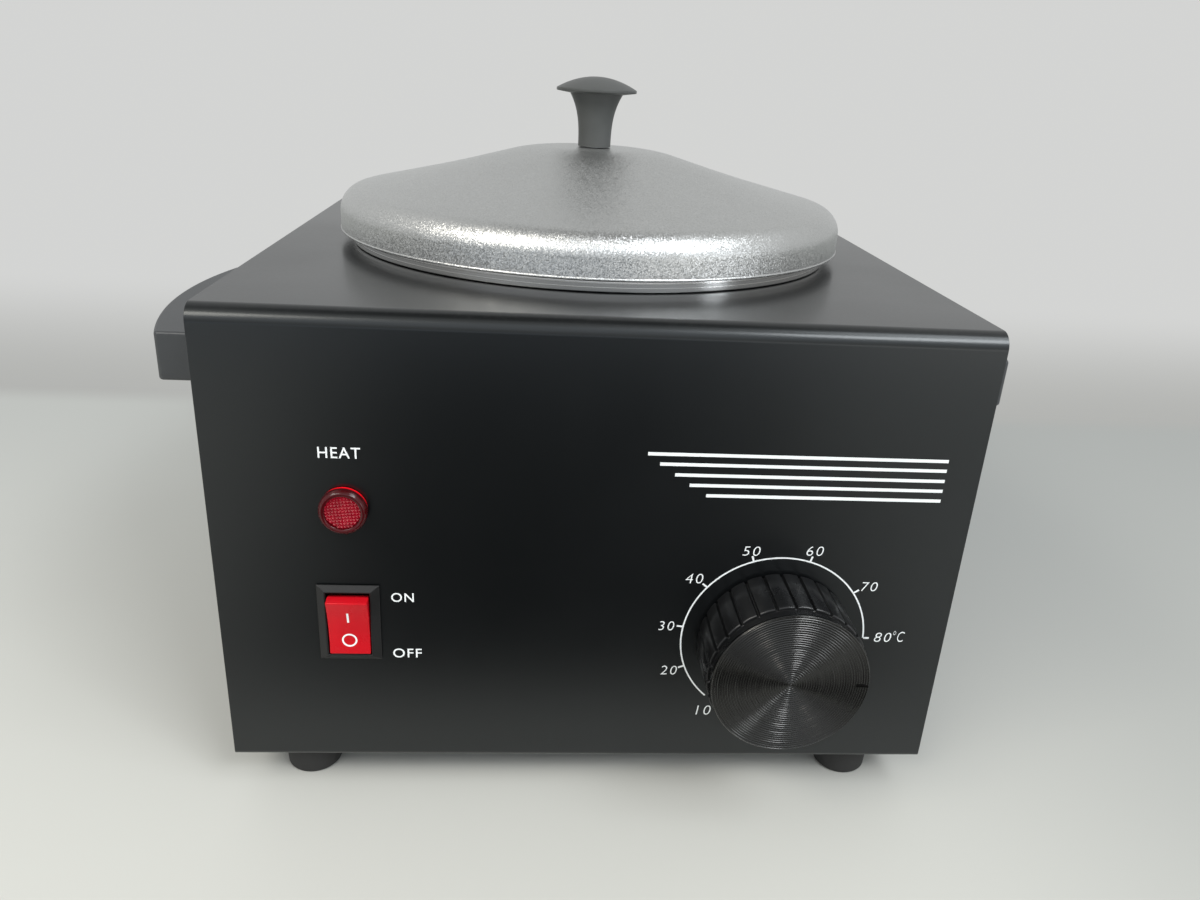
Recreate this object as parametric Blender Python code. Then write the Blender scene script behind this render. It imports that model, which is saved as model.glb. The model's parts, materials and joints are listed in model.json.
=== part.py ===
# Wax warmer: a bent sheet case with a heated well, a lift-out pot and a lid,
# worked by a rocker switch and a thermostat dial on the front panel.
# Lengths are in metres. X runs to the right, Y runs back into the case, Z is up.

from math import asin, cos, pi, radians, sin, sqrt, tan

import bmesh
import bpy
from mathutils import Vector

# Joints between pieces
SEAT_GAP = 0.0003
CUT_OVERRUN = 0.002
WELD_DISTANCE = 0.000001

# Facets round the turned pieces
LARGE_FACETS = 48
MIDDLE_FACETS = 28
SMALL_FACETS = 12
NUT_FACETS = 12
BEND_FACETS = 3

# Case. Its width and depth leave these spaces round the blanket of the well,
# the front one behind the thermostat, and its height leaves one under the pot.
CASE_SIDE_SPACE = 0.0148
CASE_REAR_SPACE = 0.0138
CASE_FRONT_SPACE = 0.0005
CASE_FLOOR_SPACE = 0.0269
SHEET = 0.001
TOP_BEND = 0.004
FOOT_BEND = 0.0015
TRAY_BEND = 0.003
RETURN_FLANGE = 0.024
SIDE_DROP = 0.0004

# Vent slots in the floor of the tray
VENT_COUNT = 7
VENT_LENGTH = 0.022
VENT_WIDTH = 0.003
VENT_PITCH = 0.009
VENT_ROW_OFFSET = 0.03

# Feet, each with a screw and a nut
FOOT_HEIGHT = 0.0100
FOOT_RADIUS = 0.0076
FOOT_TIP_RADIUS = 0.0070
FOOT_EDGE = 0.0008
FOOT_INSET_X = 0.0175
FOOT_INSET_Y = 0.012
FOOT_RECESS_RADIUS = 0.0044
FOOT_RECESS_DEPTH = 0.004
FOOT_SCREW_RADIUS = 0.0018
FOOT_SCREW_HEAD_RADIUS = 0.0036
FOOT_SCREW_HEAD = 0.0022
FOOT_SCREW_TAIL = 0.0008
FOOT_NUT_RADIUS = 0.0041
FOOT_NUT_HEIGHT = 0.0032

# Side handles
HANDLE_LENGTH = 0.095
HANDLE_END_REACH = 0.0246
HANDLE_SWELL = 0.0082
HANDLE_SET_FORWARD = 0.002
HANDLE_HEIGHT = 0.0134
HANDLE_TOP_DROP = 0.0188
HANDLE_WALL = 0.0026
HANDLE_EDGE = 0.0009
HANDLE_CORNER = 0.0025
HANDLE_BOSS_REACH = 0.012
HANDLE_BOSS_WIDTH = 0.0095
HANDLE_SCREW_RADIUS = 0.0016
HANDLE_SCREW_HEAD_RADIUS = 0.0034
HANDLE_SCREW_HEAD = 0.002
HANDLE_SCREW_LENGTH = 0.01
BOW_FACETS = 12

# Pot
POT_RADIUS = 0.065
POT_WALL = 0.0012
POT_HEIGHT = 0.095
POT_CORNER = 0.009
POT_RIM_REACH = 0.0067
POT_RIM_HEIGHT = 0.0033
POT_ROLL = 0.0016

# Heating well
WELL_CLEARANCE = 0.001
WELL_WALL = 0.0012
WELL_FLOOR_CLEARANCE = 0.0006
WELL_FLANGE = 0.008

# Heater band, its clamp and the insulation blanket
BAND_THICKNESS = 0.0024
BAND_RISE = 0.016
BAND_DROP = 0.030
BAND_GAP = 0.008
BAND_EAR_REACH = 0.009
BAND_EAR = 0.0016
CLAMP_SCREW_RADIUS = 0.002
CLAMP_HEAD_RADIUS = 0.0036
CLAMP_HEAD = 0.0024
CLAMP_TAIL = 0.0012
CLAMP_NUT_RADIUS = 0.0041
CLAMP_NUT_HEIGHT = 0.0032
BLANKET_THICKNESS = 0.006
BLANKET_RISE = 0.0175
BLANKET_DROP = 0.0175
BLANKET_GAP = 0.034

# Temperature sensor and thermal fuse under the well
BULB_RADIUS = 0.003
BULB_LENGTH = 0.05
BULB_X = -0.012
FUSE_RADIUS = 0.0022
FUSE_LENGTH = 0.014
FUSE_X = 0.012
CLIP_SHEET = 0.0008
CLIP_WIDTH = 0.01
CLIP_FOOT = 0.007
CAPILLARY_RADIUS = 0.0009

# Lid
LID_OVERHANG = 0.0035
LID_WALL = 0.0012
LID_SKIRT_HEIGHT = 0.0105
LID_SHOULDER = 0.0066
LID_CONE_RISE = 0.0143
LID_CONE_SWELL = 0.0003
LID_CROWN_RADIUS = 0.0209
LID_LIP = 0.0004
LID_LIP_HEIGHT = 0.0009
LID_RING_DEPTH = 0.003
LID_RING_CLEARANCE = 0.0008
CONE_FACETS = 2

# Knob of the lid with its screw and washer
GRIP_STEM_RADIUS = 0.0049
GRIP_NECK_RADIUS = 0.0078
GRIP_CAP_RADIUS = 0.0119
GRIP_NECK_HEIGHT = 0.0152
GRIP_RIM_HEIGHT = 0.0166
GRIP_HEIGHT = 0.0200
GRIP_RIM = 0.0008
GRIP_BORE_RADIUS = 0.0022
GRIP_BORE_DEPTH = 0.0105
LID_SCREW_RADIUS = 0.0018
LID_SCREW_LENGTH = 0.0085
LID_SCREW_HEAD_RADIUS = 0.0036
LID_SCREW_HEAD = 0.0022
LID_WASHER_RADIUS = 0.0070
LID_WASHER = 0.0008
FLARE_FACETS = 4
DOME_FACETS = 4

# Rocker switch, measured from the middle of its window
SWITCH_INSET = 0.0314
SWITCH_RISE = 0.0409
SWITCH_FRAME_WIDTH = 0.015
SWITCH_FRAME_HEIGHT = 0.021
SWITCH_FRAME_PROUD = 0.0015
SWITCH_FRAME_BEVEL = 0.0012
SWITCH_FRAME_EDGE = 0.0004
SWITCH_BODY_WIDTH = 0.0129
SWITCH_BODY_HEIGHT = 0.0194
SWITCH_BODY_DEPTH = 0.018
SWITCH_WELL_DEPTH = 0.0062
ROCKER_WIDTH = 0.0099
ROCKER_SIDE_CLEARANCE = 0.0003
ROCKER_END_CLEARANCE = 0.0008
ROCKER_LENGTH = 0.0158
ROCKER_CREST = 0.0034
ROCKER_PIVOT_DEPTH = 0.0008
ROCKER_TRAVEL = radians(22)
ROCKER_PIN_RADIUS = 0.0008
ROCKER_PIN_LENGTH = 0.0118
ROCKER_EDGE = 0.0003
# Shares of half the length and of the crest, from the crest round to the back
ROCKER_SIDE_SHARES = ((1.0, 0.15), (0.86, -0.47), (0.38, -1.0))
TAB_WIDTH = 0.0048
TAB_SHEET = 0.0008
TAB_LENGTH = 0.0095
TAB_ROOT = 0.0025
SWITCH_TAB_SPACING = 0.008

# Pilot lamp
PILOT_INSET = 0.0316
PILOT_RISE = 0.0717
LENS_RADIUS = 0.0056
LENS_PROUD = 0.0035
LENS_EDGE = 0.002
LENS_SPIGOT_RADIUS = 0.0034
LENS_SPIGOT = 0.004
PILOT_BARREL_RADIUS = 0.0047
PILOT_BARREL_LENGTH = 0.017
PILOT_BARREL_END = 0.0012
PILOT_NUT_RADIUS = 0.0075
PILOT_NUT_HEIGHT = 0.003

# Thermostat behind the dial
DIAL_INSET = 0.0451
DIAL_RISE = 0.0373
THERMOSTAT_WIDTH = 0.034
THERMOSTAT_HEIGHT = 0.034
THERMOSTAT_DEPTH = 0.02
THERMOSTAT_EDGE = 0.002
THERMOSTAT_SCREW_SPACING = 0.026
THERMOSTAT_SCREW_RADIUS = 0.0017
THERMOSTAT_SCREW_HEAD_RADIUS = 0.0031
THERMOSTAT_SCREW_HEAD = 0.0018
THERMOSTAT_SCREW_REACH = 0.005
THERMOSTAT_TAB_SPACING = 0.014
SHAFT_RADIUS = 0.003
SHAFT_REACH = 0.0132
SHAFT_ROOT = 0.0075
SHAFT_FLAT = 0.0011
SHAFT_FLAT_LENGTH = 0.009

# Dial knob
KNOB_RADIUS = 0.0195
KNOB_STANDOFF = 0.0009
KNOB_FLUTED_END = 0.0159
KNOB_NECK_END = 0.0180
KNOB_NECK_STEP = 0.0001
KNOB_EDGE = 0.0004
KNOB_WALL_RADIUS = 0.0170
KNOB_FLOOR = 0.0138
KNOB_HUB_RADIUS = 0.0060
KNOB_HUB_START = 0.0030
FLUTE_COUNT = 27
FLUTE_START = radians(11)
FLUTE_WIDTH = 0.0013
FLUTE_DEPTH = 0.0008
DISC_RADIUS = 0.0190
DISC_THICKNESS = 0.0008
DISC_EDGE = 0.00025
DISC_SPIGOT_RADIUS = 0.004
DISC_SPIGOT = 0.0026
POINTER_LENGTH = 0.003
POINTER_WIDTH = 0.0008
POINTER_DEPTH = 0.0004

# Cord gland in the back panel
GLAND_INSET = 0.031
GLAND_RISE = 0.0245
GLAND_BORE_RADIUS = 0.004
GLAND_BODY_RADIUS = 0.0060
GLAND_HEAD_RADIUS = 0.0085
GLAND_HEAD = 0.0042
GLAND_EDGE = 0.001
GLAND_LENGTH = 0.011
GLAND_NUT_RADIUS = 0.0095
GLAND_NUT_HEIGHT = 0.004

# Terminal block, earth stud and wiring
BLOCK_INSET = 0.033
BLOCK_FROM_BACK = 0.042
BLOCK_WIDTH = 0.027
BLOCK_DEPTH = 0.016
BLOCK_HEIGHT = 0.012
BLOCK_POLE_SPACING = 0.008
BLOCK_PORT_RADIUS = 0.0018
BLOCK_PORT_RISE = 0.0042
BLOCK_EDGE = 0.0012
BLOCK_SCREW_RADIUS = 0.0013
BLOCK_SCREW_HEAD_RADIUS = 0.0026
BLOCK_SCREW_HEAD = 0.0018
BLOCK_SCREW_TAIL = 0.0006
STUD_INSET = 0.061
STUD_FROM_BACK = 0.03
STUD_RADIUS = 0.002
STUD_HEIGHT = 0.012
STUD_NUT_RADIUS = 0.0041
STUD_NUT_HEIGHT = 0.0032
WIRE_RADIUS = 0.0011
WIRE_FACETS = 4
WIRE_FLOOR = 0.004
WIRE_END_GAP = 0.0007
WIRE_CORRIDOR = 0.0075

# Sizes that follow from the pot outwards
POT_RIM_RADIUS = POT_RADIUS + POT_RIM_REACH
LID_RADIUS = POT_RIM_RADIUS + LID_OVERHANG
WELL_RADIUS = POT_RADIUS + WELL_CLEARANCE
WELL_OUTSIDE = WELL_RADIUS + WELL_WALL
BAND_INSIDE = WELL_OUTSIDE + SEAT_GAP
BAND_OUTSIDE = BAND_INSIDE + BAND_THICKNESS
BLANKET_INSIDE = BAND_OUTSIDE + SEAT_GAP
BLANKET_OUTSIDE = BLANKET_INSIDE + BLANKET_THICKNESS
PANEL_BACK = SHEET + SEAT_GAP
POT_Y = PANEL_BACK + THERMOSTAT_DEPTH + CASE_FRONT_SPACE + BLANKET_OUTSIDE
CASE_WIDTH = 2 * (BLANKET_OUTSIDE + CASE_SIDE_SPACE)
CASE_DEPTH = POT_Y + BLANKET_OUTSIDE + CASE_REAR_SPACE
CASE_HEIGHT = POT_HEIGHT - POT_RIM_HEIGHT + CASE_FLOOR_SPACE
HANDLE_BOW = HANDLE_END_REACH + HANDLE_SWELL

# Places across the case
WRAP_HALF = CASE_WIDTH / 2 - SHEET - SEAT_GAP
SWITCH_X = SWITCH_INSET - CASE_WIDTH / 2
PILOT_X = PILOT_INSET - CASE_WIDTH / 2
DIAL_X = CASE_WIDTH / 2 - DIAL_INSET
GLAND_X = GLAND_INSET - CASE_WIDTH / 2
BLOCK_X = BLOCK_INSET - CASE_WIDTH / 2
STUD_X = STUD_INSET - CASE_WIDTH / 2
MIDDLE = CASE_DEPTH / 2
HANDLE_MIDDLE = MIDDLE - HANDLE_SET_FORWARD

# Levels, from the foot of the panel up
PANEL_FOOT = FOOT_HEIGHT + SEAT_GAP
TOP = PANEL_FOOT + CASE_HEIGHT
TRAY_UNDERSIDE = PANEL_FOOT + SHEET + SEAT_GAP
TRAY_FLOOR = TRAY_UNDERSIDE + SHEET
RIM_TOP = TOP + POT_RIM_HEIGHT
POT_UNDERSIDE = RIM_TOP - POT_HEIGHT
WELL_FLOOR = POT_UNDERSIDE - WELL_FLOOR_CLEARANCE
WELL_UNDERSIDE = WELL_FLOOR - WELL_WALL
FLANGE_TOP = TOP - SHEET - SEAT_GAP
FLANGE_UNDERSIDE = FLANGE_TOP - WELL_WALL
BAND_LOW = WELL_UNDERSIDE + BAND_RISE
BAND_HIGH = FLANGE_UNDERSIDE - BAND_DROP
DISC_BACK = KNOB_NECK_END + SEAT_GAP
DISC_FACE = DISC_BACK + DISC_THICKNESS
GLAND_FACE = SEAT_GAP + GLAND_HEAD
LID_SEAT = RIM_TOP + SEAT_GAP
LID_CROWN = LID_SEAT + LID_SKIRT_HEIGHT + LID_CONE_RISE
FRONT_Y = (DISC_FACE - GLAND_FACE - CASE_DEPTH) / 2

# Colour, roughness and metallic value of each finish
FINISHES = {
    "black powder coat": ((0.028, 0.030, 0.031), 0.42, 0.0),
    "black plastic": ((0.022, 0.023, 0.024), 0.35, 0.0),
    "black rubber": ((0.018, 0.018, 0.018), 0.75, 0.0),
    "red plastic": ((0.60, 0.02, 0.03), 0.30, 0.0),
    "red lens": ((0.45, 0.005, 0.02), 0.12, 0.0),
    "black anodised metal": ((0.030, 0.030, 0.031), 0.28, 1.0),
    "matt silver": ((0.60, 0.60, 0.59), 0.40, 1.0),
    "bright metal": ((0.72, 0.72, 0.71), 0.18, 1.0),
    "zinc": ((0.55, 0.56, 0.58), 0.35, 1.0),
    "brass": ((0.70, 0.52, 0.22), 0.30, 1.0),
    "mica heater": ((0.45, 0.40, 0.32), 0.55, 0.0),
    "glass wool": ((0.75, 0.72, 0.62), 0.95, 0.0),
    "cream plastic": ((0.70, 0.66, 0.55), 0.50, 0.0),
    "copper": ((0.70, 0.38, 0.24), 0.30, 1.0),
    "brown wire": ((0.14, 0.05, 0.02), 0.50, 0.0),
    "blue wire": ((0.02, 0.06, 0.30), 0.50, 0.0),
    "green wire": ((0.03, 0.25, 0.05), 0.50, 0.0),
    "red wire": ((0.45, 0.02, 0.02), 0.50, 0.0),
}
SHARP_ANGLE = radians(35)


def clear_scene():
    for old in list(bpy.data.objects):
        bpy.data.objects.remove(old, do_unlink=True)


def new_material(name, finish):
    colour, roughness, metallic = FINISHES[finish]
    material = bpy.data.materials.new(name)
    material.use_nodes = True
    shader = material.node_tree.nodes["Principled BSDF"]
    shader.inputs["Base Color"].default_value = (*colour, 1)
    shader.inputs["Roughness"].default_value = roughness
    shader.inputs["Metallic"].default_value = metallic
    return material


def add_empty(name, location, parent=None, turn=(0, 0, 0)):
    spot = bpy.data.objects.new(name, None)
    bpy.context.collection.objects.link(spot)
    spot.parent = parent
    spot.location = location
    spot.rotation_euler = turn
    return spot


def add_part(name, shape, finish, parent, turn=(0, 0, 0)):
    mesh = bpy.data.meshes.new(name)
    shape.to_mesh(mesh)
    shape.free()
    mesh.shade_smooth()
    mesh.set_sharp_from_angle(angle=SHARP_ANGLE)
    part = bpy.data.objects.new(name, mesh)
    bpy.context.collection.objects.link(part)
    part.data.materials.append(new_material(name, finish))
    part.parent = parent
    part.rotation_euler = turn
    return part


def reshape(part, operation, name, *shapes):
    """Cut the shapes from a part, join them to it, or keep only what they share."""
    mesh = bpy.data.meshes.new(name)
    tools = bmesh.new()
    for shape in shapes:
        shape.to_mesh(mesh)
        shape.free()
        tools.from_mesh(mesh)
    tools.to_mesh(mesh)
    tools.free()
    tool = bpy.data.objects.new(name, mesh)
    bpy.context.collection.objects.link(tool)
    tool.parent = part.parent
    tool.rotation_euler = part.rotation_euler
    tool.hide_render = True
    tool.display_type = "WIRE"
    modifier = part.modifiers.new(name, "BOOLEAN")
    modifier.operation = operation
    modifier.solver = "EXACT"
    modifier.object = tool
    return tool


def arc(centre, radius, start, end, facets):
    """Points of a round stretch, ends included, with angles in radians."""
    steps = [start + (end - start) * i / facets for i in range(facets + 1)]
    return [(centre[0] + radius * cos(a), centre[1] + radius * sin(a)) for a in steps]


def turned(profile, facets):
    """Turn (radius, height) points round Z. A profile off the axis is closed."""
    shape = bmesh.new()
    verts = [shape.verts.new((radius, 0, height)) for radius, height in profile]
    edges = [shape.edges.new(pair) for pair in zip(verts, verts[1:])]
    if profile[0][0] > 0 and profile[-1][0] > 0:
        edges.append(shape.edges.new((verts[-1], verts[0])))
    bmesh.ops.spin(
        shape, geom=verts + edges, axis=(0, 0, 1), cent=(0, 0, 0),
        angle=2 * pi, steps=facets, use_merge=True,
    )
    bmesh.ops.remove_doubles(shape, verts=shape.verts, dist=WELD_DISTANCE)
    bmesh.ops.recalc_face_normals(shape, faces=shape.faces)
    return shape


def prism(outline, low, high):
    """Extrude (x, y) points from one height to another."""
    shape = bmesh.new()
    face = shape.faces.new([shape.verts.new((x, y, low)) for x, y in outline])
    grown = bmesh.ops.extrude_face_region(shape, geom=[face])
    lifted = [item for item in grown["geom"] if isinstance(item, bmesh.types.BMVert)]
    bmesh.ops.translate(shape, verts=lifted, vec=(0, 0, high - low))
    bmesh.ops.recalc_face_normals(shape, faces=shape.faces)
    return shape


def block(low, high):
    """A box between two corners."""
    outline = [(low[0], low[1]), (high[0], low[1]), (high[0], high[1]), (low[0], high[1])]
    return prism(outline, low[2], high[2])


def rod(radius, low, high, facets=SMALL_FACETS):
    return prism(arc((0, 0), radius, 0, 2 * pi, facets)[:-1], low, high)


def stacked(loops):
    """Skin a stack of ((x, y) points, height) outlines that have equal counts."""
    shape = bmesh.new()
    rings = [[shape.verts.new((x, y, height)) for x, y in points] for points, height in loops]
    for lower, upper in zip(rings, rings[1:]):
        for i in range(len(lower)):
            shape.faces.new((lower[i - 1], lower[i], upper[i], upper[i - 1]))
    shape.faces.new(rings[0])
    shape.faces.new(rings[-1])
    bmesh.ops.recalc_face_normals(shape, faces=shape.faces)
    return shape


def rectangle(half_width, half_height):
    return [
        (half_width, half_height), (-half_width, half_height),
        (-half_width, -half_height), (half_width, -half_height),
    ]


def moved(shape, *step):
    bmesh.ops.translate(shape, verts=shape.verts, vec=step)
    return shape


def laid_along(shape, axis):
    """Turn a shape that stands on Z so that it lies along X or Y, its top first."""
    if axis == "X":
        for vert in shape.verts:
            vert.co = Vector((vert.co.z, vert.co.x, vert.co.y))
    else:
        for vert in shape.verts:
            vert.co = Vector((vert.co.y, vert.co.z, vert.co.x))
    return shape


def upside_down(shape):
    for vert in shape.verts:
        vert.co = Vector((vert.co.x, -vert.co.y, -vert.co.z))
    return shape


def nut(radius, bore, height):
    """A hexagon nut, with a point at each corner and at the middle of each flat."""
    shape = bmesh.new()
    outer = []
    inner = []
    for i in range(NUT_FACETS):
        angle = 2 * pi * i / NUT_FACETS
        reach = radius if i % 2 == 0 else radius * cos(pi / 6)
        outer.append((reach * cos(angle), reach * sin(angle)))
        inner.append((bore * cos(angle), bore * sin(angle)))
    rings = []
    for points, level in ((outer, 0), (outer, height), (inner, height), (inner, 0)):
        rings.append([shape.verts.new((x, y, level)) for x, y in points])
    for here, there in zip(rings, rings[1:] + rings[:1]):
        for i in range(NUT_FACETS):
            shape.faces.new((here[i - 1], here[i], there[i], there[i - 1]))
    bmesh.ops.recalc_face_normals(shape, faces=shape.faces)
    return shape


def pan_screw(shank_radius, shank_length, head_radius, head_height):
    """A screw that points down from a head standing on height 0."""
    crown = head_radius * sqrt(0.5)
    profile = [
        (0, head_height), (crown, head_height), (head_radius, head_height / 2), (head_radius, 0),
        (shank_radius, 0), (shank_radius, -shank_length), (0, -shank_length),
    ]
    return turned(profile, SMALL_FACETS)


def bent_sheet(corners, bends, thickness):
    """Outline of a sheet folded squarely, given the corners of its outer face."""
    points = [Vector(corner) for corner in corners]
    ways = [(b - a).normalized() for a, b in zip(points, points[1:])]
    outer = [points[0]]
    inner = [points[0] + ways[1] * thickness]
    for corner, before, after, bend in zip(points[1:], ways, ways[1:], bends):
        centre = corner - before * bend + after * bend
        for i in range(BEND_FACETS + 1):
            angle = pi / 2 * i / BEND_FACETS
            spoke = before * sin(angle) - after * cos(angle)
            outer.append(centre + spoke * bend)
            inner.append(centre + spoke * (bend - thickness))
    outer.append(points[-1])
    inner.append(points[-1] - ways[-2] * thickness)
    return [tuple(point) for point in outer + inner[::-1]]


def smooth_path(points):
    """Sample a smooth curve through hand-chosen points."""
    spots = [Vector(point) for point in points]
    spots = [2 * spots[0] - spots[1], *spots, 2 * spots[-1] - spots[-2]]
    path = []
    for a, b, c, d in zip(spots, spots[1:], spots[2:], spots[3:]):
        for i in range(WIRE_FACETS):
            t = i / WIRE_FACETS
            path.append(
                (2 * b + (c - a) * t + (2 * a - 5 * b + 4 * c - d) * t ** 2
                 + (3 * b - a - 3 * c + d) * t ** 3) / 2
            )
    path.append(spots[-2])
    return path


def add_wire(name, points, radius, finish, parent):
    curve = bpy.data.curves.new(name, "CURVE")
    curve.dimensions = "3D"
    curve.bevel_depth = radius
    curve.bevel_resolution = 1
    curve.use_fill_caps = True
    path = smooth_path(points)
    spline = curve.splines.new("POLY")
    spline.points.add(len(path) - 1)
    for knot, place in zip(spline.points, path):
        knot.co = (*place, 1)
    wire = bpy.data.objects.new(name, curve)
    bpy.context.collection.objects.link(wire)
    curve.materials.append(new_material(name, finish))
    wire.parent = parent
    return wire


def foot_places():
    """Name and (x, y) of each foot, seen from the front."""
    half = CASE_WIDTH / 2 - FOOT_INSET_X
    rear = CASE_DEPTH - FOOT_INSET_Y
    return {
        "front_left": (-half, FOOT_INSET_Y),
        "front_right": (half, FOOT_INSET_Y),
        "rear_left": (-half, rear),
        "rear_right": (half, rear),
    }


def handle_screw_places():
    """Distance from the middle of the case along the side, for both screws."""
    offset = HANDLE_LENGTH / 2 - HANDLE_WALL - HANDLE_BOSS_WIDTH / 2
    return (-offset, offset)


def handle_screw_level():
    return TOP - HANDLE_TOP_DROP - HANDLE_HEIGHT / 2


def add_outer_wrap(case):
    corners = [
        (RETURN_FLANGE, PANEL_FOOT), (0, PANEL_FOOT), (0, TOP),
        (CASE_DEPTH, TOP), (CASE_DEPTH, PANEL_FOOT), (CASE_DEPTH - RETURN_FLANGE, PANEL_FOOT),
    ]
    bends = (FOOT_BEND, TOP_BEND, TOP_BEND, FOOT_BEND)
    shape = laid_along(prism(bent_sheet(corners, bends, SHEET), -WRAP_HALF, WRAP_HALF), "X")
    wrap = add_part("outer_wrap", shape, "black powder coat", case)

    top_low, top_high = TOP - SHEET - CUT_OVERRUN, TOP + CUT_OVERRUN
    pot_hole = moved(rod(WELL_RADIUS, top_low, top_high, LARGE_FACETS), 0, POT_Y, 0)
    foot_low, foot_high = PANEL_FOOT - CUT_OVERRUN, PANEL_FOOT + SHEET + CUT_OVERRUN
    screw_hole = FOOT_SCREW_RADIUS + SEAT_GAP
    foot_holes = [
        moved(rod(screw_hole, foot_low, foot_high), x, y, 0) for x, y in foot_places().values()
    ]
    reshape(wrap, "DIFFERENCE", "wrap_upright_holes", pot_hole, *foot_holes)

    front_low, front_high = -CUT_OVERRUN, SHEET + CUT_OVERRUN
    half_width = SWITCH_BODY_WIDTH / 2 + SEAT_GAP
    half_height = SWITCH_BODY_HEIGHT / 2 + SEAT_GAP
    switch_hole = block(
        (SWITCH_X - half_width, front_low, PANEL_FOOT + SWITCH_RISE - half_height),
        (SWITCH_X + half_width, front_high, PANEL_FOOT + SWITCH_RISE + half_height),
    )
    pilot_hole = laid_along(rod(PILOT_BARREL_RADIUS + SEAT_GAP, front_low, front_high), "Y")
    moved(pilot_hole, PILOT_X, 0, PANEL_FOOT + PILOT_RISE)
    screw_offset = THERMOSTAT_SCREW_SPACING / 2
    screw_bore = THERMOSTAT_SCREW_RADIUS + SEAT_GAP
    shaft_bore = SHAFT_RADIUS + 2 * SEAT_GAP
    dial_holes = []
    for offset, radius in ((-screw_offset, screw_bore), (0, shaft_bore), (screw_offset, screw_bore)):
        hole = laid_along(rod(radius, front_low, front_high), "Y")
        dial_holes.append(moved(hole, DIAL_X + offset, 0, PANEL_FOOT + DIAL_RISE))
    gland_hole = laid_along(
        rod(GLAND_BODY_RADIUS + SEAT_GAP, CASE_DEPTH - front_high, CASE_DEPTH - front_low), "Y"
    )
    moved(gland_hole, GLAND_X, 0, PANEL_FOOT + GLAND_RISE)
    reshape(wrap, "DIFFERENCE", "wrap_panel_holes", switch_hole, pilot_hole, gland_hole, *dial_holes)


def add_base_tray(case):
    half = CASE_WIDTH / 2
    side_top = TOP - SIDE_DROP
    corners = [(-half, side_top), (-half, TRAY_UNDERSIDE), (half, TRAY_UNDERSIDE), (half, side_top)]
    shape = prism(bent_sheet(corners, (TRAY_BEND, TRAY_BEND), SHEET), 0, CASE_DEPTH)
    for vert in shape.verts:
        vert.co = Vector((vert.co.x, vert.co.z, vert.co.y))
    bmesh.ops.recalc_face_normals(shape, faces=shape.faces)
    tray = add_part("base_tray", shape, "black powder coat", case)

    bend = TOP_BEND
    side_outline = [
        (0, TRAY_UNDERSIDE - CUT_OVERRUN), (CASE_DEPTH, TRAY_UNDERSIDE - CUT_OVERRUN),
        *arc((CASE_DEPTH - bend, side_top - bend), bend, 0, pi / 2, BEND_FACETS),
        *arc((bend, side_top - bend), bend, pi / 2, pi, BEND_FACETS),
    ]
    side_form = laid_along(prism(side_outline, -half - CUT_OVERRUN, half + CUT_OVERRUN), "X")
    reshape(tray, "INTERSECT", "tray_side_form", side_form)

    trim_half = WRAP_HALF + SEAT_GAP / 2
    low, high = TRAY_UNDERSIDE - CUT_OVERRUN, TOP
    trims = []
    for front, back in ((-CUT_OVERRUN, PANEL_BACK), (CASE_DEPTH - PANEL_BACK, CASE_DEPTH + CUT_OVERRUN)):
        trims.append(block((-trim_half, front, low), (trim_half, back, high)))
    reshape(tray, "DIFFERENCE", "tray_end_trims", *trims)

    low, high = TRAY_UNDERSIDE - CUT_OVERRUN, TRAY_FLOOR + CUT_OVERRUN
    holes = [
        moved(rod(FOOT_SCREW_RADIUS + SEAT_GAP, low, high), x, y, 0) for x, y in foot_places().values()
    ]
    block_hole = rod(BLOCK_SCREW_RADIUS + SEAT_GAP, low, high)
    holes.append(moved(block_hole, BLOCK_X, CASE_DEPTH - BLOCK_FROM_BACK, 0))
    for side in (-1, 1):
        for offset in handle_screw_places():
            hole = laid_along(rod(HANDLE_SCREW_RADIUS + SEAT_GAP, -SHEET - CUT_OVERRUN, CUT_OVERRUN), "X")
            if side < 0:
                moved(hole, SHEET, 0, 0)
            holes.append(moved(hole, side * half, HANDLE_MIDDLE + offset, handle_screw_level()))
    reshape(tray, "DIFFERENCE", "tray_holes", *holes)

    slots = []
    for row in (-1, 1):
        for i in range(VENT_COUNT):
            x = (i - (VENT_COUNT - 1) / 2) * VENT_PITCH
            y = MIDDLE + row * VENT_ROW_OFFSET
            near = (x - VENT_WIDTH / 2, y - VENT_LENGTH / 2, low)
            far = (x + VENT_WIDTH / 2, y + VENT_LENGTH / 2, high)
            slots.append(block(near, far))
    reshape(tray, "DIFFERENCE", "tray_vents", *slots)


def add_feet(case):
    bore = FOOT_SCREW_RADIUS + SEAT_GAP
    profile = [
        (bore, FOOT_HEIGHT), (FOOT_RADIUS, FOOT_HEIGHT), (FOOT_TIP_RADIUS, FOOT_EDGE),
        (FOOT_TIP_RADIUS - FOOT_EDGE, 0), (FOOT_RECESS_RADIUS, 0),
        (FOOT_RECESS_RADIUS, FOOT_RECESS_DEPTH), (bore, FOOT_RECESS_DEPTH),
    ]
    head_seat = FOOT_RECESS_DEPTH - SEAT_GAP
    nut_seat = TRAY_FLOOR + SEAT_GAP
    shank = nut_seat + FOOT_NUT_HEIGHT + FOOT_SCREW_TAIL - head_seat
    for place, (x, y) in foot_places().items():
        spot = add_empty("foot_spot_" + place, (x, y, 0), case)
        add_part("foot_" + place, turned(profile, SMALL_FACETS), "black rubber", spot)
        screw = upside_down(pan_screw(FOOT_SCREW_RADIUS, shank, FOOT_SCREW_HEAD_RADIUS, FOOT_SCREW_HEAD))
        add_part("foot_screw_" + place, moved(screw, 0, 0, head_seat), "zinc", spot)
        hex_nut = nut(FOOT_NUT_RADIUS, bore, FOOT_NUT_HEIGHT)
        add_part("foot_nut_" + place, moved(hex_nut, 0, 0, nut_seat), "zinc", spot)


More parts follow.
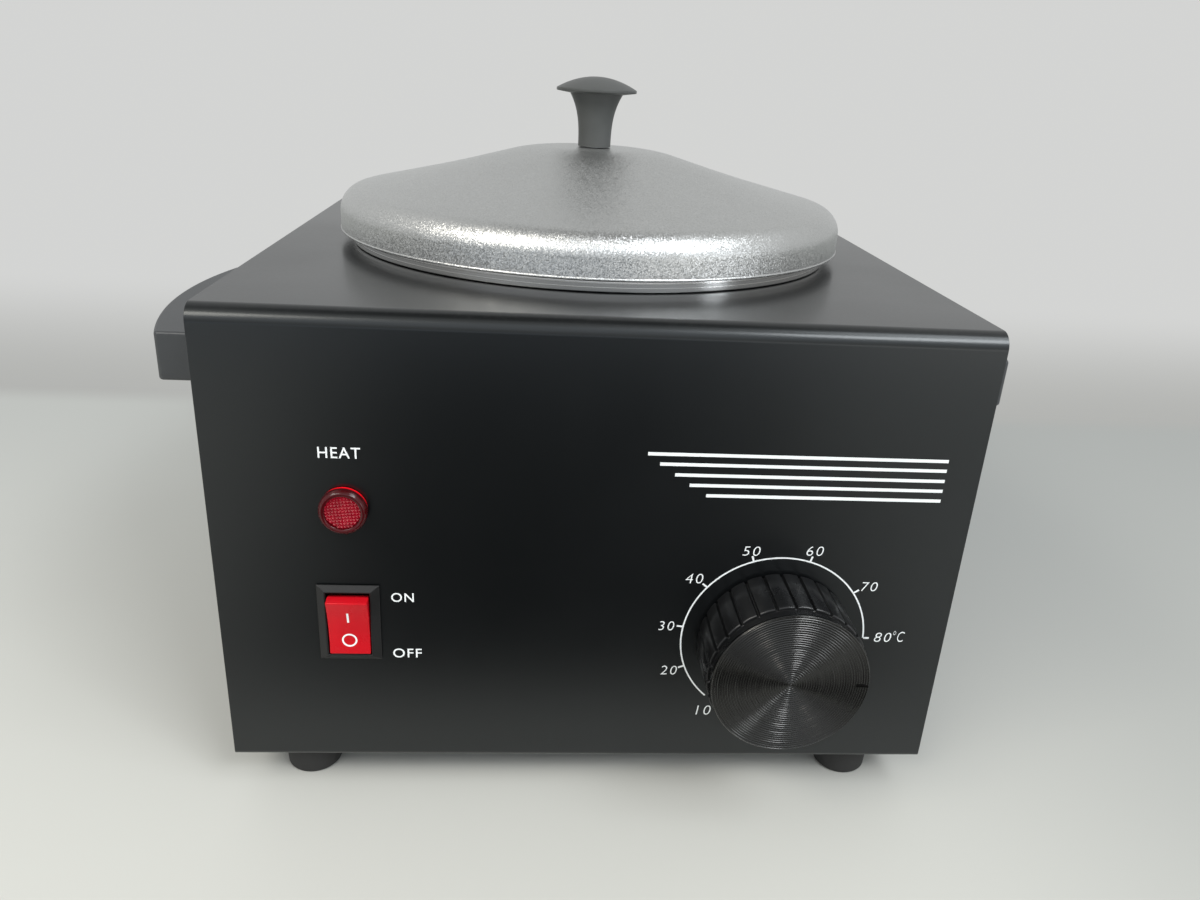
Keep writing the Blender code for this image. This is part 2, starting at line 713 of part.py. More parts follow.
def handle_outline(inset):
    """Half-moon outline of a handle, with its walls moved in by an inset."""
    half = HANDLE_LENGTH / 2
    swell = HANDLE_BOW - HANDLE_END_REACH
    radius = (half ** 2 + swell ** 2) / (2 * swell)
    centre = HANDLE_BOW - radius
    reach = half - inset
    bow = radius - inset
    turn = asin(reach / bow)
    return arc((centre, 0), bow, -turn, turn, BOW_FACETS), reach


def add_handles(case):
    low = TOP - HANDLE_TOP_DROP - HANDLE_HEIGHT
    high = low + HANDLE_HEIGHT
    outer, reach = handle_outline(0)
    hollow, inner_reach = handle_outline(HANDLE_WALL)
    boss_end = inner_reach - HANDLE_BOSS_WIDTH
    hollow_outline = [
        (HANDLE_BOSS_REACH, -inner_reach), *hollow, (HANDLE_BOSS_REACH, inner_reach),
        (HANDLE_BOSS_REACH, boss_end), (HANDLE_WALL, boss_end),
        (HANDLE_WALL, -boss_end), (HANDLE_BOSS_REACH, -boss_end),
    ]
    for name, side in (("left", -1), ("right", 1)):
        turn = (0, 0, pi if side < 0 else 0)
        spot = add_empty("handle_spot_" + name, (side * CASE_WIDTH / 2, HANDLE_MIDDLE, 0), case, turn)
        outline = [(SEAT_GAP, -reach), *outer, (SEAT_GAP, reach)]
        shape = prism(outline, low, high)
        uprights = [
            edge for edge in shape.edges
            if edge.verts[0].co.xy == edge.verts[1].co.xy
            and abs(edge.verts[0].co.y) > reach - SEAT_GAP and edge.verts[0].co.x > HANDLE_WALL
        ]
        bmesh.ops.bevel(shape, geom=uprights, offset=HANDLE_CORNER, segments=3, affect="EDGES",
                        profile=0.5, material=-1)
        rims = [
            edge for edge in shape.edges
            if edge.verts[0].co.z == edge.verts[1].co.z and max(v.co.x for v in edge.verts) > HANDLE_WALL
        ]
        bmesh.ops.bevel(shape, geom=rims, offset=HANDLE_EDGE, segments=2, affect="EDGES",
                        profile=0.5, material=-1)
        handle = add_part("handle_" + name, shape, "black plastic", spot)
        pocket = prism(hollow_outline, low - CUT_OVERRUN, high - HANDLE_WALL)
        holes = []
        for offset in handle_screw_places():
            bore = laid_along(
                rod(HANDLE_SCREW_RADIUS + SEAT_GAP, -CUT_OVERRUN, HANDLE_SCREW_LENGTH), "X"
            )
            holes.append(moved(bore, 0, offset, handle_screw_level()))
        reshape(handle, "DIFFERENCE", "handle_pocket_" + name, pocket)
        reshape(handle, "DIFFERENCE", "handle_bores_" + name, *holes)
        for offset, end in zip(handle_screw_places(), ("front", "rear") if side > 0 else ("rear", "front")):
            shank = HANDLE_SCREW_LENGTH + SHEET
            screw = pan_screw(HANDLE_SCREW_RADIUS, shank, HANDLE_SCREW_HEAD_RADIUS, HANDLE_SCREW_HEAD)
            laid = laid_along(upside_down(screw), "X")
            moved(laid, -SHEET - SEAT_GAP, offset, handle_screw_level())
            add_part("handle_screw_" + name + "_" + end, laid, "zinc", spot)


def add_pot(case):
    """The lift-out pot. Its empty is on the line along which it lifts."""
    lift = add_empty("pot_lift", (0, POT_Y, 0), case)
    inside = POT_RADIUS - POT_WALL
    corner = POT_CORNER - POT_WALL
    floor = POT_UNDERSIDE + POT_WALL
    roll_low = TOP + SEAT_GAP
    edge = POT_WALL / 2
    profile = [
        (0, floor), *arc((inside - corner, floor + corner), corner, -pi / 2, 0, BEND_FACETS),
        (inside, RIM_TOP - edge), (inside + edge, RIM_TOP),
        (POT_RIM_RADIUS - edge, RIM_TOP), (POT_RIM_RADIUS, RIM_TOP - edge),
        (POT_RIM_RADIUS, roll_low), (POT_RIM_RADIUS - POT_ROLL, roll_low),
        (POT_RIM_RADIUS - POT_ROLL, RIM_TOP - POT_WALL), (POT_RADIUS, RIM_TOP - POT_WALL),
        *arc((POT_RADIUS - POT_CORNER, POT_UNDERSIDE + POT_CORNER), POT_CORNER, 0, -pi / 2, BEND_FACETS),
        (0, POT_UNDERSIDE),
    ]
    add_part("pot", turned(profile, LARGE_FACETS), "bright metal", lift)
    return lift


def cone_line(outset):
    """The swollen cone of the lid, from the shoulder in to the crown."""
    shoulder = (LID_RADIUS - LID_SHOULDER, LID_SEAT + LID_SKIRT_HEIGHT)
    crown = (LID_CROWN_RADIUS, LID_CROWN)
    points = []
    for i in range(CONE_FACETS + 1):
        share = i / CONE_FACETS
        radius = shoulder[0] + (crown[0] - shoulder[0]) * share
        height = shoulder[1] + (crown[1] - shoulder[1]) * share
        height += LID_CONE_SWELL * sin(pi * share)
        points.append((radius, height + outset))
    return points


def add_lid(pot_lift):
    """The lid and its knob, which lift off along the same line as the pot."""
    lift = add_empty("lid_lift", (0, 0, 0), pot_lift)
    shoulder_top = LID_SEAT + LID_SKIRT_HEIGHT
    outer_bend = arc(
        (LID_RADIUS - LID_SHOULDER, shoulder_top - LID_SHOULDER), LID_SHOULDER, 0, pi / 2, BEND_FACETS
    )
    inner_bend = arc(
        (LID_RADIUS - LID_SHOULDER, shoulder_top - LID_SHOULDER), LID_SHOULDER - LID_WALL,
        pi / 2, 0, BEND_FACETS,
    )
    ring_outside = POT_RADIUS - POT_WALL - LID_RING_CLEARANCE
    ring_inside = ring_outside - LID_WALL
    ring_low = LID_SEAT - LID_RING_DEPTH
    seat_top = LID_SEAT + LID_WALL
    hole = LID_SCREW_RADIUS + SEAT_GAP
    profile = [
        (hole, LID_CROWN), *cone_line(0)[::-1][:-1], *outer_bend[::-1],
        (LID_RADIUS, LID_SEAT + LID_LIP_HEIGHT), (LID_RADIUS + LID_LIP, LID_SEAT + LID_LIP_HEIGHT / 2),
        (LID_RADIUS, LID_SEAT), (ring_outside, LID_SEAT), (ring_outside, ring_low), (ring_inside, ring_low),
        (ring_inside, seat_top), (LID_RADIUS - LID_WALL, seat_top),
        *inner_bend[::-1], *cone_line(-LID_WALL)[1:], (hole, LID_CROWN - LID_WALL),
    ]
    add_part("lid", turned(profile, LARGE_FACETS), "matt silver", lift)

    base = LID_CROWN + SEAT_GAP
    flare = []
    for i in range(FLARE_FACETS + 1):
        share = i / FLARE_FACETS
        radius = GRIP_STEM_RADIUS + (GRIP_NECK_RADIUS - GRIP_STEM_RADIUS) * share ** 3
        flare.append((radius, base + (GRIP_NECK_HEIGHT - SEAT_GAP) * share))
    rim_low = LID_CROWN + GRIP_RIM_HEIGHT - GRIP_RIM
    rim_high = LID_CROWN + GRIP_RIM_HEIGHT
    dome = []
    for i in range(DOME_FACETS + 1):
        share = i / DOME_FACETS
        height = rim_high + (GRIP_HEIGHT - GRIP_RIM_HEIGHT) * (1 - (1 - share) ** 2)
        dome.append((GRIP_CAP_RADIUS * (1 - share), height))
    grip_profile = [
        (0, base + GRIP_BORE_DEPTH), (GRIP_BORE_RADIUS, base + GRIP_BORE_DEPTH), (GRIP_BORE_RADIUS, base),
        *flare, (GRIP_CAP_RADIUS, rim_low), *dome,
    ]
    add_part("lid_knob", turned(grip_profile, MIDDLE_FACETS), "black plastic", lift)

    washer_top = LID_CROWN - LID_WALL - SEAT_GAP
    washer_low = washer_top - LID_WASHER
    washer = [
        (hole, washer_top), (LID_WASHER_RADIUS, washer_top),
        (LID_WASHER_RADIUS, washer_low), (hole, washer_low),
    ]
    add_part("lid_washer", turned(washer, SMALL_FACETS), "zinc", lift)
    head_seat = washer_low - SEAT_GAP
    shank = base + LID_SCREW_LENGTH - head_seat
    screw = upside_down(pan_screw(LID_SCREW_RADIUS, shank, LID_SCREW_HEAD_RADIUS, LID_SCREW_HEAD))
    add_part("lid_screw", moved(screw, 0, 0, head_seat), "zinc", lift)


def add_heating_well(case):
    spot = add_empty("well_centre", (0, POT_Y, 0), case)
    flange_radius = WELL_OUTSIDE + WELL_FLANGE
    corner = POT_CORNER
    centre = (WELL_RADIUS - corner, WELL_FLOOR + corner)
    profile = [
        (0, WELL_FLOOR), *arc(centre, corner, -pi / 2, 0, BEND_FACETS),
        (WELL_RADIUS, FLANGE_TOP), (flange_radius, FLANGE_TOP), (flange_radius, FLANGE_UNDERSIDE),
        (WELL_OUTSIDE, FLANGE_UNDERSIDE), *arc(centre, corner + WELL_WALL, 0, -pi / 2, BEND_FACETS),
        (0, WELL_UNDERSIDE),
    ]
    add_part("heating_well", turned(profile, LARGE_FACETS), "bright metal", spot)

    gap = BAND_GAP / 2
    ear = gap + BAND_EAR
    reach = BAND_OUTSIDE + BAND_EAR_REACH
    start_in = pi / 2 + asin(gap / BAND_INSIDE)
    start_out = pi / 2 + asin(ear / BAND_OUTSIDE)
    inner = arc((0, 0), BAND_INSIDE, start_in, 3 * pi - start_in, LARGE_FACETS)
    outer = arc((0, 0), BAND_OUTSIDE, start_out, 3 * pi - start_out, LARGE_FACETS)
    outline = [*inner, (gap, reach), (ear, reach), *outer[::-1], (-ear, reach), (-gap, reach)]
    band = add_part("heater_band", prism(outline, BAND_LOW, BAND_HIGH), "mica heater", spot)
    clamp_y = BAND_OUTSIDE + BAND_EAR_REACH / 2
    clamp_z = (BAND_LOW + BAND_HIGH) / 2
    hole = laid_along(rod(CLAMP_SCREW_RADIUS + SEAT_GAP, -ear - CUT_OVERRUN, ear + CUT_OVERRUN), "X")
    reshape(band, "DIFFERENCE", "clamp_holes", moved(hole, 0, clamp_y, clamp_z))

    nut_seat = -ear - SEAT_GAP
    head_seat = ear + SEAT_GAP
    shank = head_seat - nut_seat + CLAMP_NUT_HEIGHT + CLAMP_TAIL
    screw = laid_along(pan_screw(CLAMP_SCREW_RADIUS, shank, CLAMP_HEAD_RADIUS, CLAMP_HEAD), "X")
    add_part("heater_clamp_screw", moved(screw, head_seat, clamp_y, clamp_z), "zinc", spot)
    clamp_nut = laid_along(nut(CLAMP_NUT_RADIUS, CLAMP_SCREW_RADIUS + SEAT_GAP, CLAMP_NUT_HEIGHT), "X")
    moved(clamp_nut, nut_seat - CLAMP_NUT_HEIGHT, clamp_y, clamp_z)
    add_part("heater_clamp_nut", clamp_nut, "zinc", spot)

    start = pi / 2 + asin(BLANKET_GAP / 2 / BLANKET_INSIDE)
    inner = arc((0, 0), BLANKET_INSIDE, start, 3 * pi - start, LARGE_FACETS)
    outer = arc((0, 0), BLANKET_OUTSIDE, start, 3 * pi - start, LARGE_FACETS)
    blanket_low = WELL_UNDERSIDE + BLANKET_RISE
    blanket_high = FLANGE_UNDERSIDE - BLANKET_DROP
    blanket = prism([*inner, *outer[::-1]], blanket_low, blanket_high)
    add_part("insulation_blanket", blanket, "glass wool", spot)
    return spot


def saddle(x, radius, lift):
    """Lower edge and upper edge of a strip bent under a rod of this radius."""
    centre = (x, -SEAT_GAP - radius)
    inside = radius + SEAT_GAP
    outside = inside + CLIP_SHEET
    upper = arc(centre, inside, pi, 2 * pi, 2 * BEND_FACETS)
    lower = arc(centre, outside, pi, 2 * pi, 2 * BEND_FACETS)
    upper = [(x - inside, lift), *upper, (x + inside, lift)]
    lower = [(x - outside, lift - CLIP_SHEET), *lower, (x + outside, lift - CLIP_SHEET)]
    return upper, lower


def add_sensor(case, well):
    """Bulb, capillary and fuse, held up against the underside of the well."""
    under = add_empty("sensor_spot", (0, 0, WELL_UNDERSIDE), well)
    level = -SEAT_GAP - BULB_RADIUS
    bulb = laid_along(rod(BULB_RADIUS, -BULB_LENGTH / 2, BULB_LENGTH / 2), "Y")
    add_part("sensor_bulb", moved(bulb, BULB_X, 0, level), "copper", under)
    fuse = laid_along(rod(FUSE_RADIUS, -FUSE_LENGTH / 2, FUSE_LENGTH / 2), "Y")
    add_part("thermal_fuse", moved(fuse, FUSE_X, 0, -SEAT_GAP - FUSE_RADIUS), "bright metal", under)

    bulb_upper, bulb_lower = saddle(BULB_X, BULB_RADIUS, -SEAT_GAP)
    fuse_upper, fuse_lower = saddle(FUSE_X, FUSE_RADIUS, -SEAT_GAP)
    left = bulb_lower[0][0] - CLIP_FOOT
    right = fuse_lower[-1][0] + CLIP_FOOT
    top, low = -SEAT_GAP, -SEAT_GAP - CLIP_SHEET
    outline = [(left, top), *bulb_upper, *fuse_upper, (right, top), (right, low)]
    outline += [*fuse_lower[::-1], *bulb_lower[::-1], (left, low)]
    strip = laid_along(prism([(z, x) for x, z in outline], -CLIP_WIDTH / 2, CLIP_WIDTH / 2), "Y")
    bmesh.ops.recalc_face_normals(strip, faces=strip.faces)
    add_part("sensor_clip", strip, "zinc", under)

    bulb_end = POT_Y - BULB_LENGTH / 2 - SEAT_GAP
    bulb_level = WELL_UNDERSIDE + level
    body_back = PANEL_BACK + THERMOSTAT_DEPTH + SEAT_GAP
    port_x = DIAL_X - THERMOSTAT_WIDTH / 3
    port_z = PANEL_FOOT + DIAL_RISE - THERMOSTAT_HEIGHT / 3
    run = BULB_LENGTH / 4
    points = [
        (BULB_X, bulb_end, bulb_level), (BULB_X, bulb_end - run, bulb_level),
        (BULB_X + run, bulb_end - 2 * run, bulb_level), (port_x, body_back + run, port_z),
        (port_x, body_back, port_z),
    ]
    add_wire("capillary_tube", points, CAPILLARY_RADIUS, "copper", case)


def add_switch(case):
    """Rocker switch in panel axes: X right, Y up, Z out of the panel."""
    spot = add_empty("switch_spot", (SWITCH_X, 0, PANEL_FOOT + SWITCH_RISE), case, (pi / 2, 0, 0))
    half_width, half_height = SWITCH_FRAME_WIDTH / 2, SWITCH_FRAME_HEIGHT / 2
    body = rectangle(SWITCH_BODY_WIDTH / 2, SWITCH_BODY_HEIGHT / 2)
    rim = rectangle(half_width, half_height)
    face = rectangle(half_width - SWITCH_FRAME_BEVEL, half_height - SWITCH_FRAME_BEVEL)
    shape = stacked([
        (body, -SWITCH_BODY_DEPTH), (body, SEAT_GAP), (rim, SEAT_GAP),
        (rim, SEAT_GAP + SWITCH_FRAME_EDGE), (face, SWITCH_FRAME_PROUD),
    ])
    frame = add_part("switch_frame", shape, "black plastic", spot)
    window_x = ROCKER_WIDTH / 2 + ROCKER_SIDE_CLEARANCE
    window_y = ROCKER_LENGTH / 2 + ROCKER_END_CLEARANCE
    window_front = SWITCH_FRAME_PROUD + CUT_OVERRUN
    window = block((-window_x, -window_y, -SWITCH_WELL_DEPTH), (window_x, window_y, window_front))
    reshape(frame, "DIFFERENCE", "switch_window", window)
    pin_reach = ROCKER_PIN_LENGTH / 2 + SEAT_GAP
    pin_hole = laid_along(rod(ROCKER_PIN_RADIUS + SEAT_GAP, -pin_reach, pin_reach), "X")
    reshape(frame, "DIFFERENCE", "switch_pin_hole", moved(pin_hole, 0, 0, -ROCKER_PIVOT_DEPTH))

    slot_half_x = TAB_WIDTH / 2 + SEAT_GAP
    slot_half_y = TAB_SHEET / 2 + SEAT_GAP
    slots = []
    for i, level in enumerate((SWITCH_TAB_SPACING / 2, -SWITCH_TAB_SPACING / 2)):
        slots.append(block(
            (-slot_half_x, level - slot_half_y, -SWITCH_BODY_DEPTH - CUT_OVERRUN),
            (slot_half_x, level + slot_half_y, -SWITCH_BODY_DEPTH + TAB_ROOT + SEAT_GAP),
        ))
        tab = block(
            (-TAB_WIDTH / 2, level - TAB_SHEET / 2, -SWITCH_BODY_DEPTH + TAB_ROOT - TAB_LENGTH),
            (TAB_WIDTH / 2, level + TAB_SHEET / 2, -SWITCH_BODY_DEPTH + TAB_ROOT),
        )
        add_part("switch_terminal_" + str(i + 1), tab, "brass", spot)
    reshape(frame, "DIFFERENCE", "switch_tab_slots", *slots)

    pivot = add_empty("rocker_tilt", (0, 0, -ROCKER_PIVOT_DEPTH), spot)
    half = ROCKER_LENGTH / 2
    valley = ROCKER_CREST - half * tan(ROCKER_TRAVEL / 2)
    side = [(half, ROCKER_CREST)]
    side += [(half * along, ROCKER_CREST * out) for along, out in ROCKER_SIDE_SHARES]
    outline = [(0, valley), *side, *[(-along, out) for along, out in side[::-1]]]
    paddle = prism(outline, -ROCKER_WIDTH / 2, ROCKER_WIDTH / 2)
    bmesh.ops.bevel(paddle, geom=list(paddle.edges), offset=ROCKER_EDGE, segments=1, affect="EDGES",
                    profile=0.5, material=-1)
    laid_along(paddle, "X")
    rocker = add_part("switch_rocker", paddle, "red plastic", pivot, (ROCKER_TRAVEL / 2, 0, 0))
    pins = laid_along(rod(ROCKER_PIN_RADIUS, -ROCKER_PIN_LENGTH / 2, ROCKER_PIN_LENGTH / 2), "X")
    reshape(rocker, "UNION", "rocker_pins", pins)


def add_pilot_lamp(case):
    spot = add_empty("pilot_spot", (PILOT_X, 0, PANEL_FOOT + PILOT_RISE), case, (pi / 2, 0, 0))
    lens = [
        (0, LENS_PROUD),
        *arc((LENS_RADIUS - LENS_EDGE, LENS_PROUD - LENS_EDGE), LENS_EDGE, pi / 2, 0, BEND_FACETS),
        (LENS_RADIUS, SEAT_GAP), (LENS_SPIGOT_RADIUS, SEAT_GAP), (LENS_SPIGOT_RADIUS, -LENS_SPIGOT),
        (0, -LENS_SPIGOT),
    ]
    add_part("pilot_lens", turned(lens, MIDDLE_FACETS), "red lens", spot)
    bore = LENS_SPIGOT_RADIUS + SEAT_GAP
    barrel_floor = PILOT_BARREL_END - PILOT_BARREL_LENGTH
    barrel = [
        (0, barrel_floor), (bore, barrel_floor), (bore, 0), (PILOT_BARREL_RADIUS, 0),
        (PILOT_BARREL_RADIUS, -PILOT_BARREL_LENGTH), (0, -PILOT_BARREL_LENGTH),
    ]
    add_part("pilot_barrel", turned(barrel, SMALL_FACETS), "black plastic", spot)
    pilot_nut = nut(PILOT_NUT_RADIUS, PILOT_BARREL_RADIUS + SEAT_GAP, PILOT_NUT_HEIGHT)
    moved(pilot_nut, 0, 0, -PANEL_BACK - PILOT_NUT_HEIGHT)
    add_part("pilot_nut", pilot_nut, "black plastic", spot)


def add_thermostat(case):
    spot = add_empty("thermostat_spot", (DIAL_X, 0, PANEL_FOOT + DIAL_RISE), case, (pi / 2, 0, 0))
    half_width, half_height = THERMOSTAT_WIDTH / 2, THERMOSTAT_HEIGHT / 2
    full = rectangle(half_width, half_height)
    drawn = rectangle(half_width - THERMOSTAT_EDGE, half_height - THERMOSTAT_EDGE)
    front, back = -PANEL_BACK, -PANEL_BACK - THERMOSTAT_DEPTH
    shape = stacked([(drawn, back), (full, back + THERMOSTAT_EDGE), (full, front)])
    body = add_part("thermostat_body", shape, "cream plastic", spot)
    shaft_end = front - SHAFT_ROOT
    cuts = [rod(SHAFT_RADIUS + SEAT_GAP, shaft_end - SEAT_GAP, front + CUT_OVERRUN)]
    screw_end = front - THERMOSTAT_SCREW_REACH
    offsets = (-THERMOSTAT_SCREW_SPACING / 2, THERMOSTAT_SCREW_SPACING / 2)
    for offset in offsets:
        bore = rod(THERMOSTAT_SCREW_RADIUS + SEAT_GAP, screw_end - SEAT_GAP, front + CUT_OVERRUN)
        cuts.append(moved(bore, offset, 0, 0))
    slot_half_x = TAB_SHEET / 2 + SEAT_GAP
    slot_half_y = TAB_WIDTH / 2 + SEAT_GAP
    for i, x in enumerate((THERMOSTAT_TAB_SPACING / 2, -THERMOSTAT_TAB_SPACING / 2)):
        cuts.append(block(
            (x - slot_half_x, -slot_half_y, back - CUT_OVERRUN),
            (x + slot_half_x, slot_half_y, back + TAB_ROOT + SEAT_GAP),
        ))
        tab = block(
            (x - TAB_SHEET / 2, -TAB_WIDTH / 2, back + TAB_ROOT - TAB_LENGTH),
            (x + TAB_SHEET / 2, TAB_WIDTH / 2, back + TAB_ROOT),
        )
        add_part("thermostat_terminal_" + str(i + 1), tab, "brass", spot)
    reshape(body, "DIFFERENCE", "thermostat_bores", *cuts)
    reach = SEAT_GAP + PANEL_BACK + THERMOSTAT_SCREW_REACH
    for side, offset in zip(("left", "right"), offsets):
        screw = pan_screw(
            THERMOSTAT_SCREW_RADIUS, reach, THERMOSTAT_SCREW_HEAD_RADIUS, THERMOSTAT_SCREW_HEAD
        )
        add_part("thermostat_screw_" + side, moved(screw, offset, 0, SEAT_GAP), "zinc", spot)
    return spot, shaft_end


def fluted_ring(land, groove):
    """Outline of the knob with its lands at one radius and its grooves down to another."""
    half = FLUTE_WIDTH / 2 / KNOB_RADIUS
    points = []
    for i in range(FLUTE_COUNT):
        middle = FLUTE_START + 2 * pi * i / FLUTE_COUNT
        for angle, radius in ((middle - half, land), (middle, groove), (middle + half, land)):
            points.append((radius * cos(angle), radius * sin(angle)))
    return points


def add_dial(spot, shaft_end):
    """Knob, disc and shaft, which turn about the panel's outward axis."""
    turn = add_empty("dial_turn", (0, 0, 0), spot)
    groove = KNOB_RADIUS - FLUTE_DEPTH
    neck = groove - KNOB_NECK_STEP
    shape = stacked([
        (fluted_ring(KNOB_RADIUS, groove), KNOB_STANDOFF),
        (fluted_ring(KNOB_RADIUS, groove), KNOB_FLUTED_END - KNOB_EDGE),
        (fluted_ring(KNOB_RADIUS - KNOB_EDGE, groove), KNOB_FLUTED_END),
        (fluted_ring(neck, neck), KNOB_FLUTED_END),
        (fluted_ring(neck, neck), KNOB_NECK_END),
    ])
    knob = add_part("dial_knob", shape, "black plastic", turn)
    bore = SHAFT_RADIUS + SEAT_GAP
    hollow = [
        (0, KNOB_STANDOFF - CUT_OVERRUN), (KNOB_WALL_RADIUS, KNOB_STANDOFF - CUT_OVERRUN),
        (KNOB_WALL_RADIUS, KNOB_FLOOR), (KNOB_HUB_RADIUS, KNOB_FLOOR), (KNOB_HUB_RADIUS, KNOB_HUB_START),
        (0, KNOB_HUB_START),
    ]
    reshape(knob, "DIFFERENCE", "knob_hollow", turned(hollow, MIDDLE_FACETS))
    shaft_hole = rod(bore, KNOB_STANDOFF - CUT_OVERRUN, SHAFT_REACH + SEAT_GAP)
    reshape(knob, "DIFFERENCE", "knob_shaft_hole", shaft_hole)
    recess = rod(DISC_SPIGOT_RADIUS + SEAT_GAP, KNOB_NECK_END - DISC_SPIGOT, KNOB_NECK_END + CUT_OVERRUN)
    reshape(knob, "DIFFERENCE", "knob_disc_recess", recess)

    spigot_end = KNOB_NECK_END - DISC_SPIGOT + SEAT_GAP
    disc = [
        (0, DISC_FACE), (DISC_RADIUS - DISC_EDGE, DISC_FACE), (DISC_RADIUS, DISC_FACE - DISC_EDGE),
        (DISC_RADIUS, DISC_BACK), (DISC_SPIGOT_RADIUS, DISC_BACK),
        (DISC_SPIGOT_RADIUS, spigot_end), (0, spigot_end),
    ]
    face = add_part("dial_disc", turned(disc, 2 * FLUTE_COUNT), "black anodised metal", turn)
    pointer = block(
        (DISC_RADIUS - POINTER_LENGTH, -POINTER_WIDTH / 2, DISC_FACE - POINTER_DEPTH),
        (DISC_RADIUS + CUT_OVERRUN, POINTER_WIDTH / 2, DISC_FACE + CUT_OVERRUN),
    )
    reshape(face, "DIFFERENCE", "pointer_notch", pointer)

    shaft = add_part("thermostat_shaft", rod(SHAFT_RADIUS, shaft_end, SHAFT_REACH), "zinc", turn)
    flat = block(
        (SHAFT_RADIUS - SHAFT_FLAT, -SHAFT_RADIUS - CUT_OVERRUN, SHAFT_REACH - SHAFT_FLAT_LENGTH),
        (SHAFT_RADIUS + CUT_OVERRUN, SHAFT_RADIUS + CUT_OVERRUN, SHAFT_REACH + CUT_OVERRUN),
    )
    reshape(shaft, "DIFFERENCE", "shaft_flat", flat)


def add_gland(case):
    spot = add_empty(
        "gland_spot", (GLAND_X, CASE_DEPTH, PANEL_FOOT + GLAND_RISE), case, (-pi / 2, 0, 0)
    )
    profile = [
        (GLAND_BORE_RADIUS, GLAND_FACE), (GLAND_HEAD_RADIUS - GLAND_EDGE, GLAND_FACE),
        (GLAND_HEAD_RADIUS, GLAND_FACE - GLAND_EDGE), (GLAND_HEAD_RADIUS, SEAT_GAP),
        (GLAND_BODY_RADIUS, SEAT_GAP), (GLAND_BODY_RADIUS, -GLAND_LENGTH),
        (GLAND_BORE_RADIUS, -GLAND_LENGTH),
    ]
    add_part("cord_gland", turned(profile, MIDDLE_FACETS), "black plastic", spot)
    gland_nut = nut(GLAND_NUT_RADIUS, GLAND_BODY_RADIUS + SEAT_GAP, GLAND_NUT_HEIGHT)
    moved(gland_nut, 0, 0, -PANEL_BACK - GLAND_NUT_HEIGHT)
    add_part("gland_nut", gland_nut, "black plastic", spot)


def add_terminals(case):
    """Mains terminal block and earth stud on the floor of the tray."""
    block_y = CASE_DEPTH - BLOCK_FROM_BACK
    spot = add_empty("block_spot", (BLOCK_X, block_y, TRAY_FLOOR + SEAT_GAP), case)
    full = rectangle(BLOCK_WIDTH / 2, BLOCK_DEPTH / 2)
    crest = rectangle(BLOCK_WIDTH / 2 - BLOCK_EDGE, BLOCK_DEPTH / 2 - BLOCK_EDGE)
    shape = stacked([(full, 0), (full, BLOCK_HEIGHT - BLOCK_EDGE), (crest, BLOCK_HEIGHT)])
    body = add_part("terminal_block", shape, "cream plastic", spot)
    depth = BLOCK_DEPTH / 2 + CUT_OVERRUN
    ports = []
    for i in (-1, 0, 1):
        port = laid_along(rod(BLOCK_PORT_RADIUS, -depth, -depth / 2), "Y")
        ports.append(moved(port, i * BLOCK_POLE_SPACING, 0, BLOCK_PORT_RISE))
        port = laid_along(rod(BLOCK_PORT_RADIUS, depth / 2, depth), "Y")
        ports.append(moved(port, i * BLOCK_POLE_SPACING, 0, BLOCK_PORT_RISE))
    bore = rod(BLOCK_SCREW_RADIUS + SEAT_GAP, -CUT_OVERRUN, BLOCK_HEIGHT + CUT_OVERRUN)
    reshape(body, "DIFFERENCE", "block_ports", bore, *ports)
    shank = BLOCK_HEIGHT + 3 * SEAT_GAP + SHEET + BLOCK_SCREW_TAIL
    screw = pan_screw(BLOCK_SCREW_RADIUS, shank, BLOCK_SCREW_HEAD_RADIUS, BLOCK_SCREW_HEAD)
    add_part("terminal_block_screw", moved(screw, 0, 0, BLOCK_HEIGHT + SEAT_GAP), "zinc", spot)

    post = add_empty("earth_spot", (STUD_X, CASE_DEPTH - STUD_FROM_BACK, TRAY_FLOOR + SEAT_GAP), case)
    add_part("earth_stud", rod(STUD_RADIUS, 0, STUD_HEIGHT), "zinc", post)
    stud_nut = nut(STUD_NUT_RADIUS, STUD_RADIUS + SEAT_GAP, STUD_NUT_HEIGHT)
    add_part("earth_nut", stud_nut, "zinc", post)


